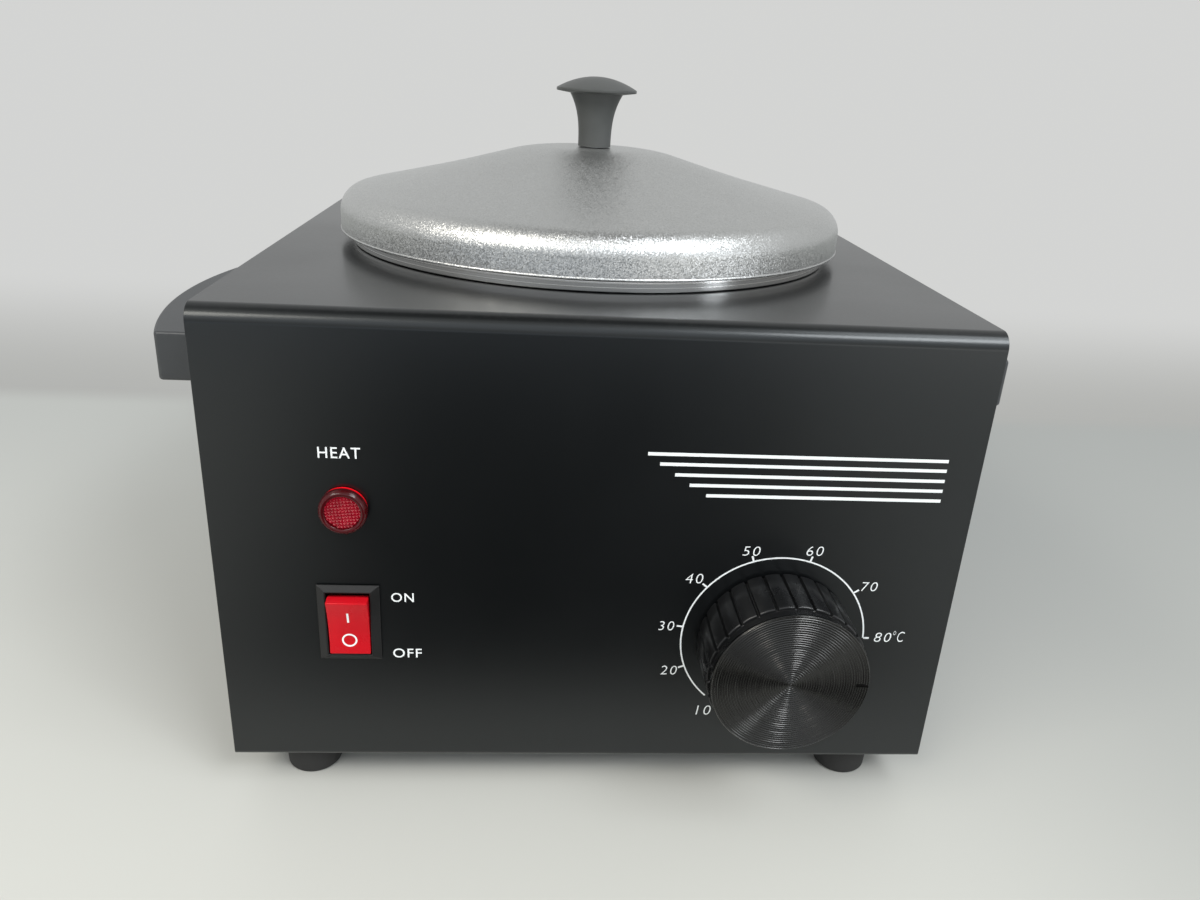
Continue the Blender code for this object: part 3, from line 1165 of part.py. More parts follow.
def add_wiring(case):
    """Wires inside the case, from clamp to clamp, along the floor and the left side."""
    block_front = CASE_DEPTH - BLOCK_FROM_BACK - BLOCK_DEPTH / 2 - WIRE_END_GAP
    port_z = TRAY_FLOOR + SEAT_GAP + BLOCK_PORT_RISE
    floor = TRAY_FLOOR + WIRE_FLOOR
    side_x = -WRAP_HALF + WIRE_CORRIDOR
    switch_z = PANEL_FOOT + SWITCH_RISE
    tab_end = SWITCH_BODY_DEPTH - TAB_ROOT + TAB_LENGTH + WIRE_END_GAP
    upper_tab = switch_z + SWITCH_TAB_SPACING / 2
    lower_tab = switch_z - SWITCH_TAB_SPACING / 2
    run = 4 * WIRE_CORRIDOR

    live = [
        (BLOCK_X - BLOCK_POLE_SPACING, block_front, port_z), (side_x, block_front - run, port_z),
        (side_x, MIDDLE, floor), (side_x, tab_end + run, upper_tab),
        (SWITCH_X, tab_end, upper_tab),
    ]
    add_wire("wire_block_to_switch", live, WIRE_RADIUS, "brown wire", case)

    thermostat_back = PANEL_BACK + THERMOSTAT_DEPTH - TAB_ROOT + TAB_LENGTH + WIRE_END_GAP
    tab_z = PANEL_FOOT + DIAL_RISE
    near_x = DIAL_X - THERMOSTAT_TAB_SPACING / 2
    far_x = DIAL_X + THERMOSTAT_TAB_SPACING / 2
    switched = [
        (SWITCH_X, tab_end, lower_tab), (SWITCH_X, tab_end + WIRE_CORRIDOR, lower_tab - WIRE_CORRIDOR),
        (SWITCH_X / 2, tab_end, floor), (near_x / 2, tab_end, floor),
        (near_x, thermostat_back + WIRE_CORRIDOR, floor + WIRE_CORRIDOR),
        (near_x, thermostat_back + WIRE_FLOOR, tab_z), (near_x, thermostat_back, tab_z),
    ]
    add_wire("wire_switch_to_thermostat", switched, WIRE_RADIUS, "red wire", case)

    band_end = BAND_LOW - WIRE_END_GAP
    band_middle = (BAND_INSIDE + BAND_OUTSIDE) / 2
    band_clear = BAND_OUTSIDE + WIRE_FLOOR
    right_way = Vector((cos(pi / 4), -sin(pi / 4)))
    left_way = Vector((-cos(pi / 4), -sin(pi / 4)))
    centre = Vector((0, POT_Y))
    inner_port = BLOCK_X + BLOCK_POLE_SPACING
    heated = [
        (far_x, thermostat_back, tab_z), (far_x, thermostat_back + WIRE_FLOOR, tab_z),
        (*(centre + right_way * band_clear), band_end - run / 2),
        (*(centre + right_way * band_middle), band_end),
    ]
    add_wire("wire_thermostat_to_heater", heated, WIRE_RADIUS, "red wire", case)
    returned = [
        (*(centre + left_way * band_middle), band_end),
        (*(centre + left_way * band_clear), band_end - run / 2),
        (inner_port, MIDDLE, floor), (inner_port, block_front - WIRE_CORRIDOR, port_z),
        (inner_port, block_front, port_z),
    ]
    add_wire("wire_heater_to_block", returned, WIRE_RADIUS, "blue wire", case)

    pilot_back = PILOT_BARREL_LENGTH + WIRE_END_GAP
    pilot_z = PANEL_FOOT + PILOT_RISE
    neutral = [
        (PILOT_X, pilot_back, pilot_z), (PILOT_X, pilot_back + WIRE_FLOOR, pilot_z),
        (side_x + 4 * WIRE_RADIUS, MIDDLE / 2, pilot_z), (side_x + WIRE_RADIUS, MIDDLE, pilot_z / 2),
        (side_x + 2 * WIRE_CORRIDOR, MIDDLE + run, floor + WIRE_CORRIDOR / 2),
        (BLOCK_X, block_front, port_z),
    ]
    add_wire("wire_pilot_to_block", neutral, WIRE_RADIUS, "blue wire", case)


def build():
    clear_scene()
    case = add_empty("case", (0, FRONT_Y, 0))
    add_outer_wrap(case)
    add_base_tray(case)
    add_feet(case)
    add_handles(case)
    pot_lift = add_pot(case)
    add_lid(pot_lift)
    well = add_heating_well(case)
    add_sensor(case, well)
    add_switch(case)
    add_pilot_lamp(case)
    thermostat, shaft_end = add_thermostat(case)
    add_dial(thermostat, shaft_end)
    add_gland(case)
    add_terminals(case)
    add_wiring(case)


build()
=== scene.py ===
import json
from math import asin, cos, pi, radians, sin, tan

import bmesh
import bpy
from mathutils import Matrix, Vector
from mathutils.bvhtree import BVHTree


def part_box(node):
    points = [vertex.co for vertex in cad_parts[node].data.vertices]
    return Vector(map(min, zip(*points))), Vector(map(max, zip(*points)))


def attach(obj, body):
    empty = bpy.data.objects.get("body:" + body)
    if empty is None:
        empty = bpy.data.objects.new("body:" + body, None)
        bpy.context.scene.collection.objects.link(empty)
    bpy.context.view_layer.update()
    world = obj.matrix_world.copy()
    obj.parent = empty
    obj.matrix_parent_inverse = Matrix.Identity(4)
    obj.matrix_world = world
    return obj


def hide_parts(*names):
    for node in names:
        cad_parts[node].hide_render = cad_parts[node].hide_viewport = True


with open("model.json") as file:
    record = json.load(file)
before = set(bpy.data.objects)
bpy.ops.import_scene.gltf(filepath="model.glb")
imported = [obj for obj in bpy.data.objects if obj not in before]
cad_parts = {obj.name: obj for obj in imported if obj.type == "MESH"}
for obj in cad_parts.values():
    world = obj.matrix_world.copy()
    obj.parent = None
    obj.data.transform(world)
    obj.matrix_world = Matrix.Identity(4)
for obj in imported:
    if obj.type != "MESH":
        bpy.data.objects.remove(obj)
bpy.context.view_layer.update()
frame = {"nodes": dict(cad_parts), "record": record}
nodes = frame["nodes"]
mm = 0.001
print("frame loaded:", len(nodes), "nodes")


def boxOf(node):
    low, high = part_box(node)
    return low / mm, high / mm


def middleOf(node):
    low, high = boxOf(node)
    return (low + high) / 2


wrapLow, wrapHigh = boxOf("outer_wrap")
panelFace, backFace, panelFoot, topFace = wrapLow.y, wrapHigh.y, wrapLow.z, wrapHigh.z
trayLow, trayHigh = boxOf("base_tray")
potLow, potHigh = boxOf("pot")
rimTop = potHigh.z
lidLow, lidHigh = boxOf("lid")
crown = lidHigh.z
potMiddle = middleOf("pot") * Vector((1, 1, 0))
onPot = Matrix.Translation(potMiddle)
facingOut = Matrix.Rotation(pi / 2, 4, "X")  # a shape's top then points out of the front panel
facingBack = Matrix.Rotation(-pi / 2, 4, "X")
facingDown = Matrix.Rotation(pi, 4, "X")
across = Matrix.Rotation(pi / 2, 4, "Y")  # a rod then runs from left to right
swapped = Matrix(((0, 1, 0, 0), (1, 0, 0, 0), (0, 0, 1, 0), (0, 0, 0, 1)))  # X for Y
square = ((-1, -1), (1, -1), (1, 1), (-1, 1))


def spotOn(node, face=panelFace, turn=facingOut):
    # the middle of a node, taken onto the front panel's face or another
    middle = middleOf(node)
    return Matrix.Translation((middle.x, face, middle.z)) @ turn


dialSpot, lensSpot, switchSpot = map(spotOn, ("dial_disc", "pilot_lens", "switch_frame"))
glandSpot = spotOn("cord_gland", backFace, facingBack)


# shaping helpers, all working on a bmesh in millimetres

def moved(shape, step):
    bmesh.ops.translate(shape, verts=shape.verts, vec=step)
    return shape


def scaled(shape, sizes):
    bmesh.ops.scale(shape, verts=shape.verts, vec=sizes)
    return shape


def turnedBy(shape, turn):
    bmesh.ops.transform(shape, matrix=turn, verts=shape.verts)
    return shape


def aboutZ(angle):
    return Matrix.Rotation(radians(angle), 4, "Z")


def outward(shape):
    bmesh.ops.recalc_face_normals(shape, faces=shape.faces)
    return shape


def merged(shape, reach):
    bmesh.ops.remove_doubles(shape, verts=shape.verts, dist=reach)
    return shape


def bevelled(shape, edges, width, steps):
    bmesh.ops.bevel(shape, geom=edges, offset=width, segments=steps, affect="EDGES",
                    profile=0.5, material=-1)


def swept(shape, geom, angle, steps, **more):
    bmesh.ops.spin(shape, geom=geom, axis=(0, 0, 1), angle=angle, steps=steps, **more)


def drawn(corners, closed=False, steps=6):
    # wire in X and Z; a corner's third number is the radius that rounds it
    shape = bmesh.new()
    verts = [shape.verts.new((corner[0], 0, corner[1])) for corner in corners]
    for pair in zip(verts, verts[1:]):
        shape.edges.new(pair)
    if closed:
        shape.edges.new((verts[-1], verts[0]))
    for i, corner in enumerate(corners):
        if len(corner) < 3:
            continue
        here = Vector(corner[:2])
        before = Vector(corners[i - 1][:2]) - here
        after = Vector(corners[(i + 1) % len(corners)][:2]) - here
        bmesh.ops.bevel(shape, geom=[verts[i]], offset=corner[2] / tan(before.angle(after) / 2),
                        offset_type="OFFSET", segments=steps, profile=0.5, affect="VERTICES",
                        material=-1)
    return shape


def spun(corners, around=160, steps=6):
    # turns a wire about Z; one that starts or ends off the axis is closed
    shape = drawn(corners, corners[0][0] > 0 and corners[-1][0] > 0, steps)
    swept(shape, list(shape.verts) + list(shape.edges), 2 * pi, around, use_merge=True)
    return outward(merged(shape, 0.0005))


def deepened(shape, step):
    # gives a flat outline's face a thickness
    if not shape.faces:
        bmesh.ops.contextual_create(shape, geom=list(shape.edges))
    grown = bmesh.ops.extrude_face_region(shape, geom=list(shape.faces))
    far = [item for item in grown["geom"] if isinstance(item, bmesh.types.BMVert)]
    bmesh.ops.translate(shape, verts=far, vec=step)
    return outward(shape)


def plated(corners, front, back, steps=6):
    # an outline in X and Z, carried from one Y to another
    return moved(deepened(drawn(corners, True, steps), (0, back - front, 0)), (0, front, 0))


def rod(radius, low, high, around=48):
    shape = bmesh.new()
    bmesh.ops.create_circle(shape, cap_ends=True, segments=around, radius=radius)
    return deepened(moved(shape, (0, 0, low)), (0, 0, high - low))


def brick(low, high):
    shape = bmesh.new()
    bmesh.ops.create_cube(shape, size=1)
    scaled(shape, Vector(high) - Vector(low))
    return moved(shape, (Vector(low) + Vector(high)) / 2)


def joined(shapes):
    whole = bmesh.new()
    carrier = bpy.data.meshes.new("carrier")
    for shape in shapes:
        shape.to_mesh(carrier)
        shape.free()
        whole.from_mesh(carrier)
    bpy.data.meshes.remove(carrier)
    return whole


def placedIn(name, data):
    holder = bpy.data.objects.new(name, data)
    bpy.context.scene.collection.objects.link(holder)
    return holder


def holderOf(name, shape):
    mesh = bpy.data.meshes.new(name)
    shape.to_mesh(mesh)
    shape.free()
    return placedIn(name, mesh)


def carved(shape, cutters, operation="DIFFERENCE"):
    blank = holderOf("blank", shape)
    tools = [holderOf("tool", cutter) for cutter in cutters]
    for tool in tools:
        step = blank.modifiers.new("cut", "BOOLEAN")
        step.operation = operation
        step.solver = "EXACT"
        step.object = tool
    bpy.context.view_layer.update()
    result = bmesh.new()
    result.from_object(blank, bpy.context.evaluated_depsgraph_get())
    for item in [blank, *tools]:
        old = item.data
        bpy.data.objects.remove(item)
        bpy.data.meshes.remove(old)
    return result


def finished(name, shape, place, body, slot, node=None, soften=0, smooth=35, look=None):
    # puts the shape in its place in metres, and gives it its body and its finish
    shape.transform(Matrix.Scale(mm, 4) @ place)
    piece = holderOf(name, shape)
    piece.data.shade_smooth()
    piece.data.set_sharp_from_angle(angle=radians(smooth))
    piece.data.materials.append(finishes[look or slotFinish[slot]])
    if soften:
        edge = piece.modifiers.new("edge", "BEVEL")
        edge.width = soften * mm
        edge.segments = 2
        edge.limit_method = "ANGLE"
        edge.angle_limit = radians(40)
        edge.use_clamp_overlap = True
        piece.modifiers.new("flat", "WEIGHTED_NORMAL").keep_sharp = True
    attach(piece, body)
    if node:
        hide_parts(node)


# node helpers

def fed(tree, node, *values, **named):
    # links or sets a node's inputs, in order or by name; None leaves one as it is
    for place, value in (*enumerate(values), *named.items()):
        if value is None:
            continue
        socket = node.inputs[place.replace("_", " ") if isinstance(place, str) else place]
        if isinstance(value, bpy.types.NodeSocket):
            tree.links.new(value, socket)
        else:
            socket.default_value = (*value, 1) if socket.type == "RGBA" else value
    return node


def addNode(tree, kind, *values, **settings):
    node = tree.nodes.new("ShaderNode" + kind)
    for name, value in settings.items():
        setattr(node, name, value)
    return fed(tree, node, *values)


def calculated(tree, operation, *values):
    return addNode(tree, "Math", *values, operation=operation).outputs[0]


def times(tree, product, *values):
    for value in values:
        product = calculated(tree, "MULTIPLY", product, value)
    return product


def vectored(tree, operation, first, second=None):
    values = (first, None, None, second) if operation == "SCALE" else (first, second)
    node = addNode(tree, "VectorMath", *values, operation=operation)
    return node.outputs["Value" if operation in ("LENGTH", "DOT_PRODUCT") else "Vector"]


def ranged(tree, value, fromLow, fromHigh, toLow, toHigh, kind="LINEAR"):
    node = addNode(tree, "MapRange", value, fromLow, fromHigh, toLow, toHigh,
                   interpolation_type=kind)
    return node.outputs["Result"]


def faded(tree, value, start, end, most=1):
    # climbs smoothly from 0 at the start to the most at the end
    return ranged(tree, value, start, end, 0, most, "SMOOTHSTEP")


def blended(tree, factor, first, second):
    return addNode(tree, "Mix", factor, *[None] * 5, first, second, data_type="RGBA").outputs[2]


def cloudy(tree, vector, scale, detail, roughness=0.55):
    return addNode(tree, "TexNoise", vector, None, scale, detail, roughness).outputs[0]


def splitOf(tree, vector):
    return addNode(tree, "SeparateXYZ", vector).outputs


def trueNormal(tree):
    return addNode(tree, "NewGeometry").outputs["Normal"]


def leaned(tree, way, amount):
    # the true normal, tipped some way
    push = vectored(tree, "SCALE", way, amount)
    return vectored(tree, "NORMALIZE", vectored(tree, "ADD", trueNormal(tree), push))


# shared effects, each a node group

def newGroup(name, takes, gives):
    group = bpy.data.node_groups.new(name, "ShaderNodeTree")
    for side, sockets in (("INPUT", takes), ("OUTPUT", gives)):
        for label, kind in sockets.items():
            group.interface.new_socket(label, in_out=side, socket_type="NodeSocket" + kind)
    taken = group.nodes.new("NodeGroupInput").outputs
    return group, taken[:len(takes)], group.nodes.new("NodeGroupOutput")


grainValues = dict(detail=4, edges=(0.35, 0.65), fine=(2, 0.6),
                   specks=(0.3, 0.7, -0.5, 0.5), speckShare=0.35)


def makeGrain(detail, edges, fine, specks, speckShare):
    # drifting tone and gloss, with a fine grain as height
    group, (vector, base, shade, patches, grain, low, high), given = newGroup("surfaceGrain", {
        "Vector": "Vector", "Base": "Color", "Shade": "Color", "Patches": "Float",
        "Grain": "Float", "Rough Low": "Float", "Rough High": "Float",
    }, {"Colour": "Color", "Roughness": "Float", "Height": "Float"})
    spread = faded(group, cloudy(group, vector, patches, detail), *edges)
    height = cloudy(group, vector, grain, *fine)
    mixed = calculated(group, "MULTIPLY_ADD", ranged(group, height, *specks), speckShare, spread)
    fed(group, given, blended(group, spread, base, shade),
        ranged(group, mixed, 0, 1, low, high), height)
    return group


edgeWearAndHighlightValues = dict(edges=(0.98, 0.82), patches=(160, 4, 0.65), bare=(0.42, 0.62))


def makeEdgeWearAndHighlight(edges, patches, bare):
    # where edges are rubbed, and on the dial where they carry a painted highlight: the rounded
    # normal leaves the true one
    group, (vector, radius), given = newGroup(
        "rubbedAndHighlightedEdges", {"Vector": "Vector", "Radius": "Float"}, {"Mask": "Float"})
    rounded = addNode(group, "Bevel", radius, samples=6).outputs[0]
    rubbed = faded(group, vectored(group, "DOT_PRODUCT", rounded, trueNormal(group)), *edges)
    patchy = faded(group, cloudy(group, vector, *patches), *bare)
    fed(group, given, times(group, rubbed, patchy))
    return group


dustValues = dict(upward=(0.5, 1), drifts=(34, 5, 0.62), drifted=(0.4, 0.75, 0.25, 1),
                  specks=(900, 2, 0.5), specked=(0.5, 0.72, 0.2, 1))


def makeDust(upward, drifts, drifted, specks, specked):
    # a faint settling of dust on what faces up
    group, (vector, amount), given = newGroup(
        "settledDust", {"Vector": "Vector", "Amount": "Float"}, {"Mask": "Float"})
    up = faded(group, splitOf(group, trueNormal(group))["Z"], *upward)
    drift = ranged(group, cloudy(group, vector, *drifts), *drifted)
    speck = ranged(group, cloudy(group, vector, *specks), *specked)
    fed(group, given, times(group, drift, speck, up, amount))
    return group


ringValues = dict(slant=0.73, ringScale=2.7, bandScale=0.07, detail=2, uneven=(0.3, 0.7),
                  waveShare=0.88, unevenShare=0.12)


def makeRings(slant, ringScale, bandScale, detail, uneven, waveShare, unevenShare):
    # fine rings round an axis through the vector's origin, as left by a lathe;
    # Lean tips the normal in and out
    group, (vector, axis, pitch, lean), given = newGroup("turnedRings", {
        "Vector": "Vector", "Axis": "Vector", "Pitch": "Float", "Lean": "Float",
    }, {"Height": "Float", "Band": "Float", "Normal": "Vector"})
    along = vectored(group, "DOT_PRODUCT", vector, axis)
    flat = vectored(group, "SUBTRACT", vector, vectored(group, "SCALE", axis, along))
    travel = calculated(group, "MULTIPLY_ADD", along, slant, vectored(group, "LENGTH", flat))
    count = calculated(group, "DIVIDE", travel, pitch)
    ring, band = [addNode(group, "TexNoise", None, count, scale, detail,
                          noise_dimensions="1D").outputs[0] for scale in (ringScale, bandScale)]
    wave = calculated(group, "SINE", times(group, count, 2 * pi))
    rough = times(group, ranged(group, ring, *uneven, -1, 1), unevenShare)
    slope = times(group, calculated(group, "MULTIPLY_ADD", wave, waveShare, rough), lean)
    way = addNode(group, "VectorTransform", vectored(group, "NORMALIZE", flat),
                  vector_type="VECTOR", convert_from="OBJECT", convert_to="WORLD").outputs[0]
    fed(group, given, ring, band, leaned(group, way, slope))
    return group


def makeFlakes():
    # tiny facets that each lean their own way, for a sparkling silver
    group, (vector, count, lean), given = newGroup(
        "silverFlakes", {"Vector": "Vector", "Count": "Float", "Lean": "Float"},
        {"Normal": "Vector", "Tone": "Float"})
    cells = addNode(group, "TexVoronoi", vector, None, count).outputs["Color"]
    centred = vectored(group, "SUBTRACT", cells, (0.5, 0.5, 0.5))
    fed(group, given, leaned(group, centred, lean), splitOf(group, cells)["X"])
    return group


grainGroup = makeGrain(**grainValues)
edgeWearAndHighlightGroup = makeEdgeWearAndHighlight(**edgeWearAndHighlightValues)
dustGroup = makeDust(**dustValues)
ringGroup = makeRings(**ringValues)
flakeGroup = makeFlakes()
print("effects ready")


# finishes

dustLook = dict(colour=(0.32, 0.31, 0.29), matt=0.5)
upright = (0, 0, 1)


def newMaterial(name):
    material = bpy.data.materials.new(name)
    material.use_nodes = True
    tree = material.node_tree
    return material, tree, tree.nodes["Principled BSDF"]


def placed(tree, group, vector, **values):
    node = tree.nodes.new("ShaderNodeGroup")
    node.node_tree = group
    return fed(tree, node, vector, **values)


def bumped(tree, height, strength, distance, normal):
    return fed(tree, addNode(tree, "Bump"), Strength=strength, Distance=distance * mm,
               Height=height, Normal=normal).outputs[0]


def paintedRimGlow(tree, coords, towards, side, inside, edge, root, fade):
    # painted light: the lamp's light led out through the lens rim, painted on as a red glow on its
    # top side only
    lensCentre = middleOf("pilot_lens") * Vector((1, 0, 1))
    centred = addNode(tree, "Mapping", coords, -lensCentre * mm, None, (1, 0, 1)).outputs[0]
    rim = faded(tree, vectored(tree, "LENGTH", centred), inside * mm, (inside + edge) * mm)
    facing = vectored(tree, "DOT_PRODUCT", vectored(tree, "NORMALIZE", centred), towards)
    start = panelFace - root
    deep = faded(tree, splitOf(tree, coords)["Y"], (start - fade) * mm, start * mm)
    return times(tree, rim, faded(tree, facing, *side), deep)


def finish(name, base, shade, patches, grain, gloss, bump, depth, wear=None, dust=None,
           rings=None, flakes=None, glow=None, **sockets):
    # a Principled finish with drifting tone and grain, and what else the look asks
    material, tree, shader = newMaterial(name)
    coords = addNode(tree, "TexCoord").outputs["Object"]
    colour, roughness, height = placed(
        tree, grainGroup, coords, Base=base, Shade=shade, Patches=patches, Grain=grain,
        Rough_Low=gloss[0], Rough_High=gloss[1]).outputs
    normal = None
    # the edge colour: rubbed wear, and on the dial's knob and disc a painted highlight
    if wear:
        wornAndLitEdge = placed(tree, edgeWearAndHighlightGroup, coords, Radius=wear["radius"] * mm).outputs[0]
        colour = blended(tree, wornAndLitEdge, colour, wear["colour"])
        roughness = calculated(tree, "SUBTRACT", roughness, times(tree, wornAndLitEdge, wear["polish"]))
    if dust:
        settled = placed(tree, dustGroup, coords, Amount=dust).outputs[0]
        colour = blended(tree, settled, colour, dustLook["colour"])
        roughness = calculated(tree, "MULTIPLY_ADD", settled, dustLook["matt"], roughness)
    if rings:
        centred = addNode(tree, "Mapping", coords, rings["centre"] * -mm).outputs[0]
        ring, band, slope = placed(
            tree, ringGroup, centred, Pitch=rings["pitch"] * mm, Axis=rings.get("axis", upright),
            Lean=rings.get("lean", 0)).outputs
        roughness = calculated(tree, "MULTIPLY_ADD", band, rings["drift"], roughness)
        normal = bumped(tree, ring, 1, rings["depth"], slope)
    if flakes:
        normal, tone = placed(tree, flakeGroup, coords, Count=flakes["count"],
                              Lean=flakes["lean"]).outputs
        tone = ranged(tree, tone, 0, 1, 0, flakes["tone"])
        colour = blended(tree, tone, colour, (1, 1, 1))
    # the red glow on the lens rim is painted light, on its top side only
    if glow:
        lit = paintedRimGlow(tree, coords, **glow["mask"])
        colour = blended(tree, lit, colour, glow["colour"])
        fed(tree, shader, Emission_Color=blended(tree, lit, (0, 0, 0), glow["colour"]),
            Emission_Strength=glow["strength"])
    fed(tree, shader, Base_Color=colour, Roughness=roughness,
        Normal=bumped(tree, height, bump, depth, normal), **sockets)
    return material


dialCentre = dialSpot.translation
looks = {
    "caseCoat": dict(
        base=(0.0024, 0.0028, 0.0031), shade=(0.0034, 0.0038, 0.0042), patches=9, grain=1500,
        gloss=(0.28, 0.33), bump=0.3, depth=0.02, dust=0.04,
        wear=dict(radius=0.5, colour=(0.025, 0.025, 0.026), polish=0.06),
        Specular_IOR_Level=0.46, Specular_Tint=(0.93, 0.985, 1), Coat_Weight=0.28,
        Coat_Roughness=0.16),
    "printWhite": dict(
        base=(0.84, 0.87, 0.875), shade=(0.80, 0.83, 0.84), patches=160, grain=4000,
        gloss=(0.42, 0.5), bump=0.3, depth=0.01),
    "handlePlastic": dict(
        base=(0.031, 0.034, 0.037), shade=(0.037, 0.040, 0.043), patches=14, grain=2600,
        gloss=(0.38, 0.45), bump=0.45, depth=0.03, dust=0.06, Specular_IOR_Level=0.6,
        wear=dict(radius=0.6, colour=(0.05, 0.05, 0.05), polish=0.1)),
    "footRubber": dict(
        base=(0.014, 0.014, 0.014), shade=(0.02, 0.0195, 0.019), patches=60, grain=1800,
        gloss=(0.62, 0.78), bump=0.5, depth=0.05,
        wear=dict(radius=0.6, colour=(0.045, 0.044, 0.042), polish=0)),
    "lidSilver": dict(
        base=(0.50, 0.505, 0.495), shade=(0.535, 0.54, 0.53), patches=12, grain=3600,
        gloss=(0.34, 0.40), bump=0.2, depth=0.01, Metallic=1,
        flakes=dict(count=4200, lean=0.3, tone=0.24)),
    "potSteel": dict(
        base=(0.70, 0.70, 0.69), shade=(0.62, 0.615, 0.60), patches=18, grain=2500,
        gloss=(0.10, 0.16), bump=0.12, depth=0.01, Metallic=1,
        rings=dict(centre=potMiddle, pitch=0.28, depth=0.004, drift=0.10)),
    "wellMetal": dict(
        base=(0.60, 0.60, 0.59), shade=(0.50, 0.49, 0.47), patches=22, grain=1500,
        gloss=(0.26, 0.36), bump=0.25, depth=0.02, Metallic=1,
        rings=dict(centre=potMiddle, pitch=0.45, depth=0.008, drift=0.12)),
    "lidKnobPlastic": dict(
        base=(0.076, 0.079, 0.077), shade=(0.084, 0.087, 0.085), patches=60, grain=2600,
        gloss=(0.34, 0.42), bump=0.25, depth=0.02, Specular_IOR_Level=0.14,
        wear=dict(radius=0.35, colour=(0.045, 0.045, 0.046), polish=0.05)),
    "dialPlastic": dict(
        base=(0.005, 0.0052, 0.0056), shade=(0.0058, 0.006, 0.0064), patches=70, grain=3000,
        gloss=(0.27, 0.30), bump=0.25, depth=0.02,
        # its lighter edges are a painted highlight along the flutes' edges
        wear=dict(radius=0.14, colour=(0.06, 0.06, 0.06), polish=0.05)),
    "discMetal": dict(
        base=(0.062, 0.0618, 0.060), shade=(0.068, 0.0677, 0.066), patches=60, grain=5000,
        gloss=(0.15, 0.18), bump=0.1, depth=0.004, Metallic=1,
        # its light edges are a painted highlight along the disc's rim and notch
        wear=dict(radius=0.25, colour=(0.42, 0.42, 0.41), polish=0),
        rings=dict(centre=dialCentre, axis=(0, 1, 0), pitch=0.6, depth=0.001, drift=0.04,
                   lean=1)),
    "rockerRed": dict(
        base=(0.55, 0.0055, 0.013), shade=(0.50, 0.0045, 0.011), patches=90, grain=3000,
        gloss=(0.24, 0.30), bump=0.15, depth=0.01, Specular_IOR_Level=0.22,
        Subsurface_Weight=0.05, Subsurface_Scale=0.001),
    "lensRed": dict(
        base=(0.060, 0.001, 0.003), shade=(0.045, 0.001, 0.002), patches=120, grain=3000,
        gloss=(0.12, 0.16), bump=0.06, depth=0.004, Specular_IOR_Level=0.4,
        # a red glow painted on the top side of the lens rim: painted light
        glow=dict(colour=(0.85, 0.001, 0.009), strength=0.3,
                  mask=dict(towards=(0.3, 0, 0.95), side=(0.35, 0.95), inside=5.2, edge=0.35,
                            root=0.7, fade=0.7))),
    "lensGlow": dict(
        base=(0.24, 0.0035, 0.014), shade=(0.15, 0.0022, 0.009), patches=500, grain=3000,
        gloss=(0.22, 0.3), bump=0.1, depth=0.004, Specular_IOR_Level=0.2,
        Emission_Color=(0.9, 0.01, 0.035), Emission_Strength=0.07),
    "switchPlastic": dict(
        base=(0.008, 0.008, 0.0082), shade=(0.010, 0.010, 0.0102), patches=80, grain=3400,
        gloss=(0.34, 0.42), bump=0.5, depth=0.025, Specular_IOR_Level=0.34,
        wear=dict(radius=0.3, colour=(0.04, 0.04, 0.041), polish=0.05)),
    "zincPlate": dict(
        base=(0.56, 0.58, 0.60), shade=(0.47, 0.48, 0.47), patches=220, grain=2600,
        gloss=(0.24, 0.38), bump=0.3, depth=0.01, Metallic=1),
    "stampedBrass": dict(
        base=(0.72, 0.50, 0.20), shade=(0.58, 0.38, 0.15), patches=160, grain=2400,
        gloss=(0.22, 0.34), bump=0.25, depth=0.01, Metallic=1),
    "drawnCopper": dict(
        base=(0.74, 0.36, 0.22), shade=(0.55, 0.24, 0.14), patches=120, grain=2400,
        gloss=(0.2, 0.32), bump=0.2, depth=0.01, Metallic=1),
    "fuseCan": dict(
        base=(0.72, 0.72, 0.71), shade=(0.6, 0.6, 0.58), patches=200, grain=3000,
        gloss=(0.2, 0.3), bump=0.2, depth=0.01, Metallic=1),
    "creamCeramic": dict(
        base=(0.66, 0.60, 0.47), shade=(0.58, 0.51, 0.38), patches=70, grain=1800,
        gloss=(0.42, 0.55), bump=0.4, depth=0.03,
        wear=dict(radius=0.5, colour=(0.74, 0.70, 0.60), polish=0.05)),
    "heaterMica": dict(
        base=(0.42, 0.36, 0.27), shade=(0.30, 0.24, 0.16), patches=55, grain=700,
        gloss=(0.35, 0.6), bump=0.5, depth=0.05),
    "glassWool": dict(
        base=(0.72, 0.68, 0.56), shade=(0.60, 0.54, 0.40), patches=45, grain=520,
        gloss=(0.85, 0.95), bump=0.9, depth=0.5, Sheen_Weight=0.3),
}
wireLook = dict(patches=90, grain=1500, gloss=(0.36, 0.5), bump=0.3, depth=0.02)
wireColours = {
    "wireBrown": dict(base=(0.12, 0.045, 0.02), shade=(0.09, 0.032, 0.014)),
    "wireRed": dict(base=(0.42, 0.015, 0.012), shade=(0.33, 0.012, 0.01)),
    "wireBlue": dict(base=(0.02, 0.07, 0.32), shade=(0.015, 0.05, 0.24)),
}
looks.update({name: dict(wireLook, **colours) for name, colours in wireColours.items()})
finishes = {name: finish(name, **look) for name, look in looks.items()}
print("finishes ready:", len(finishes))

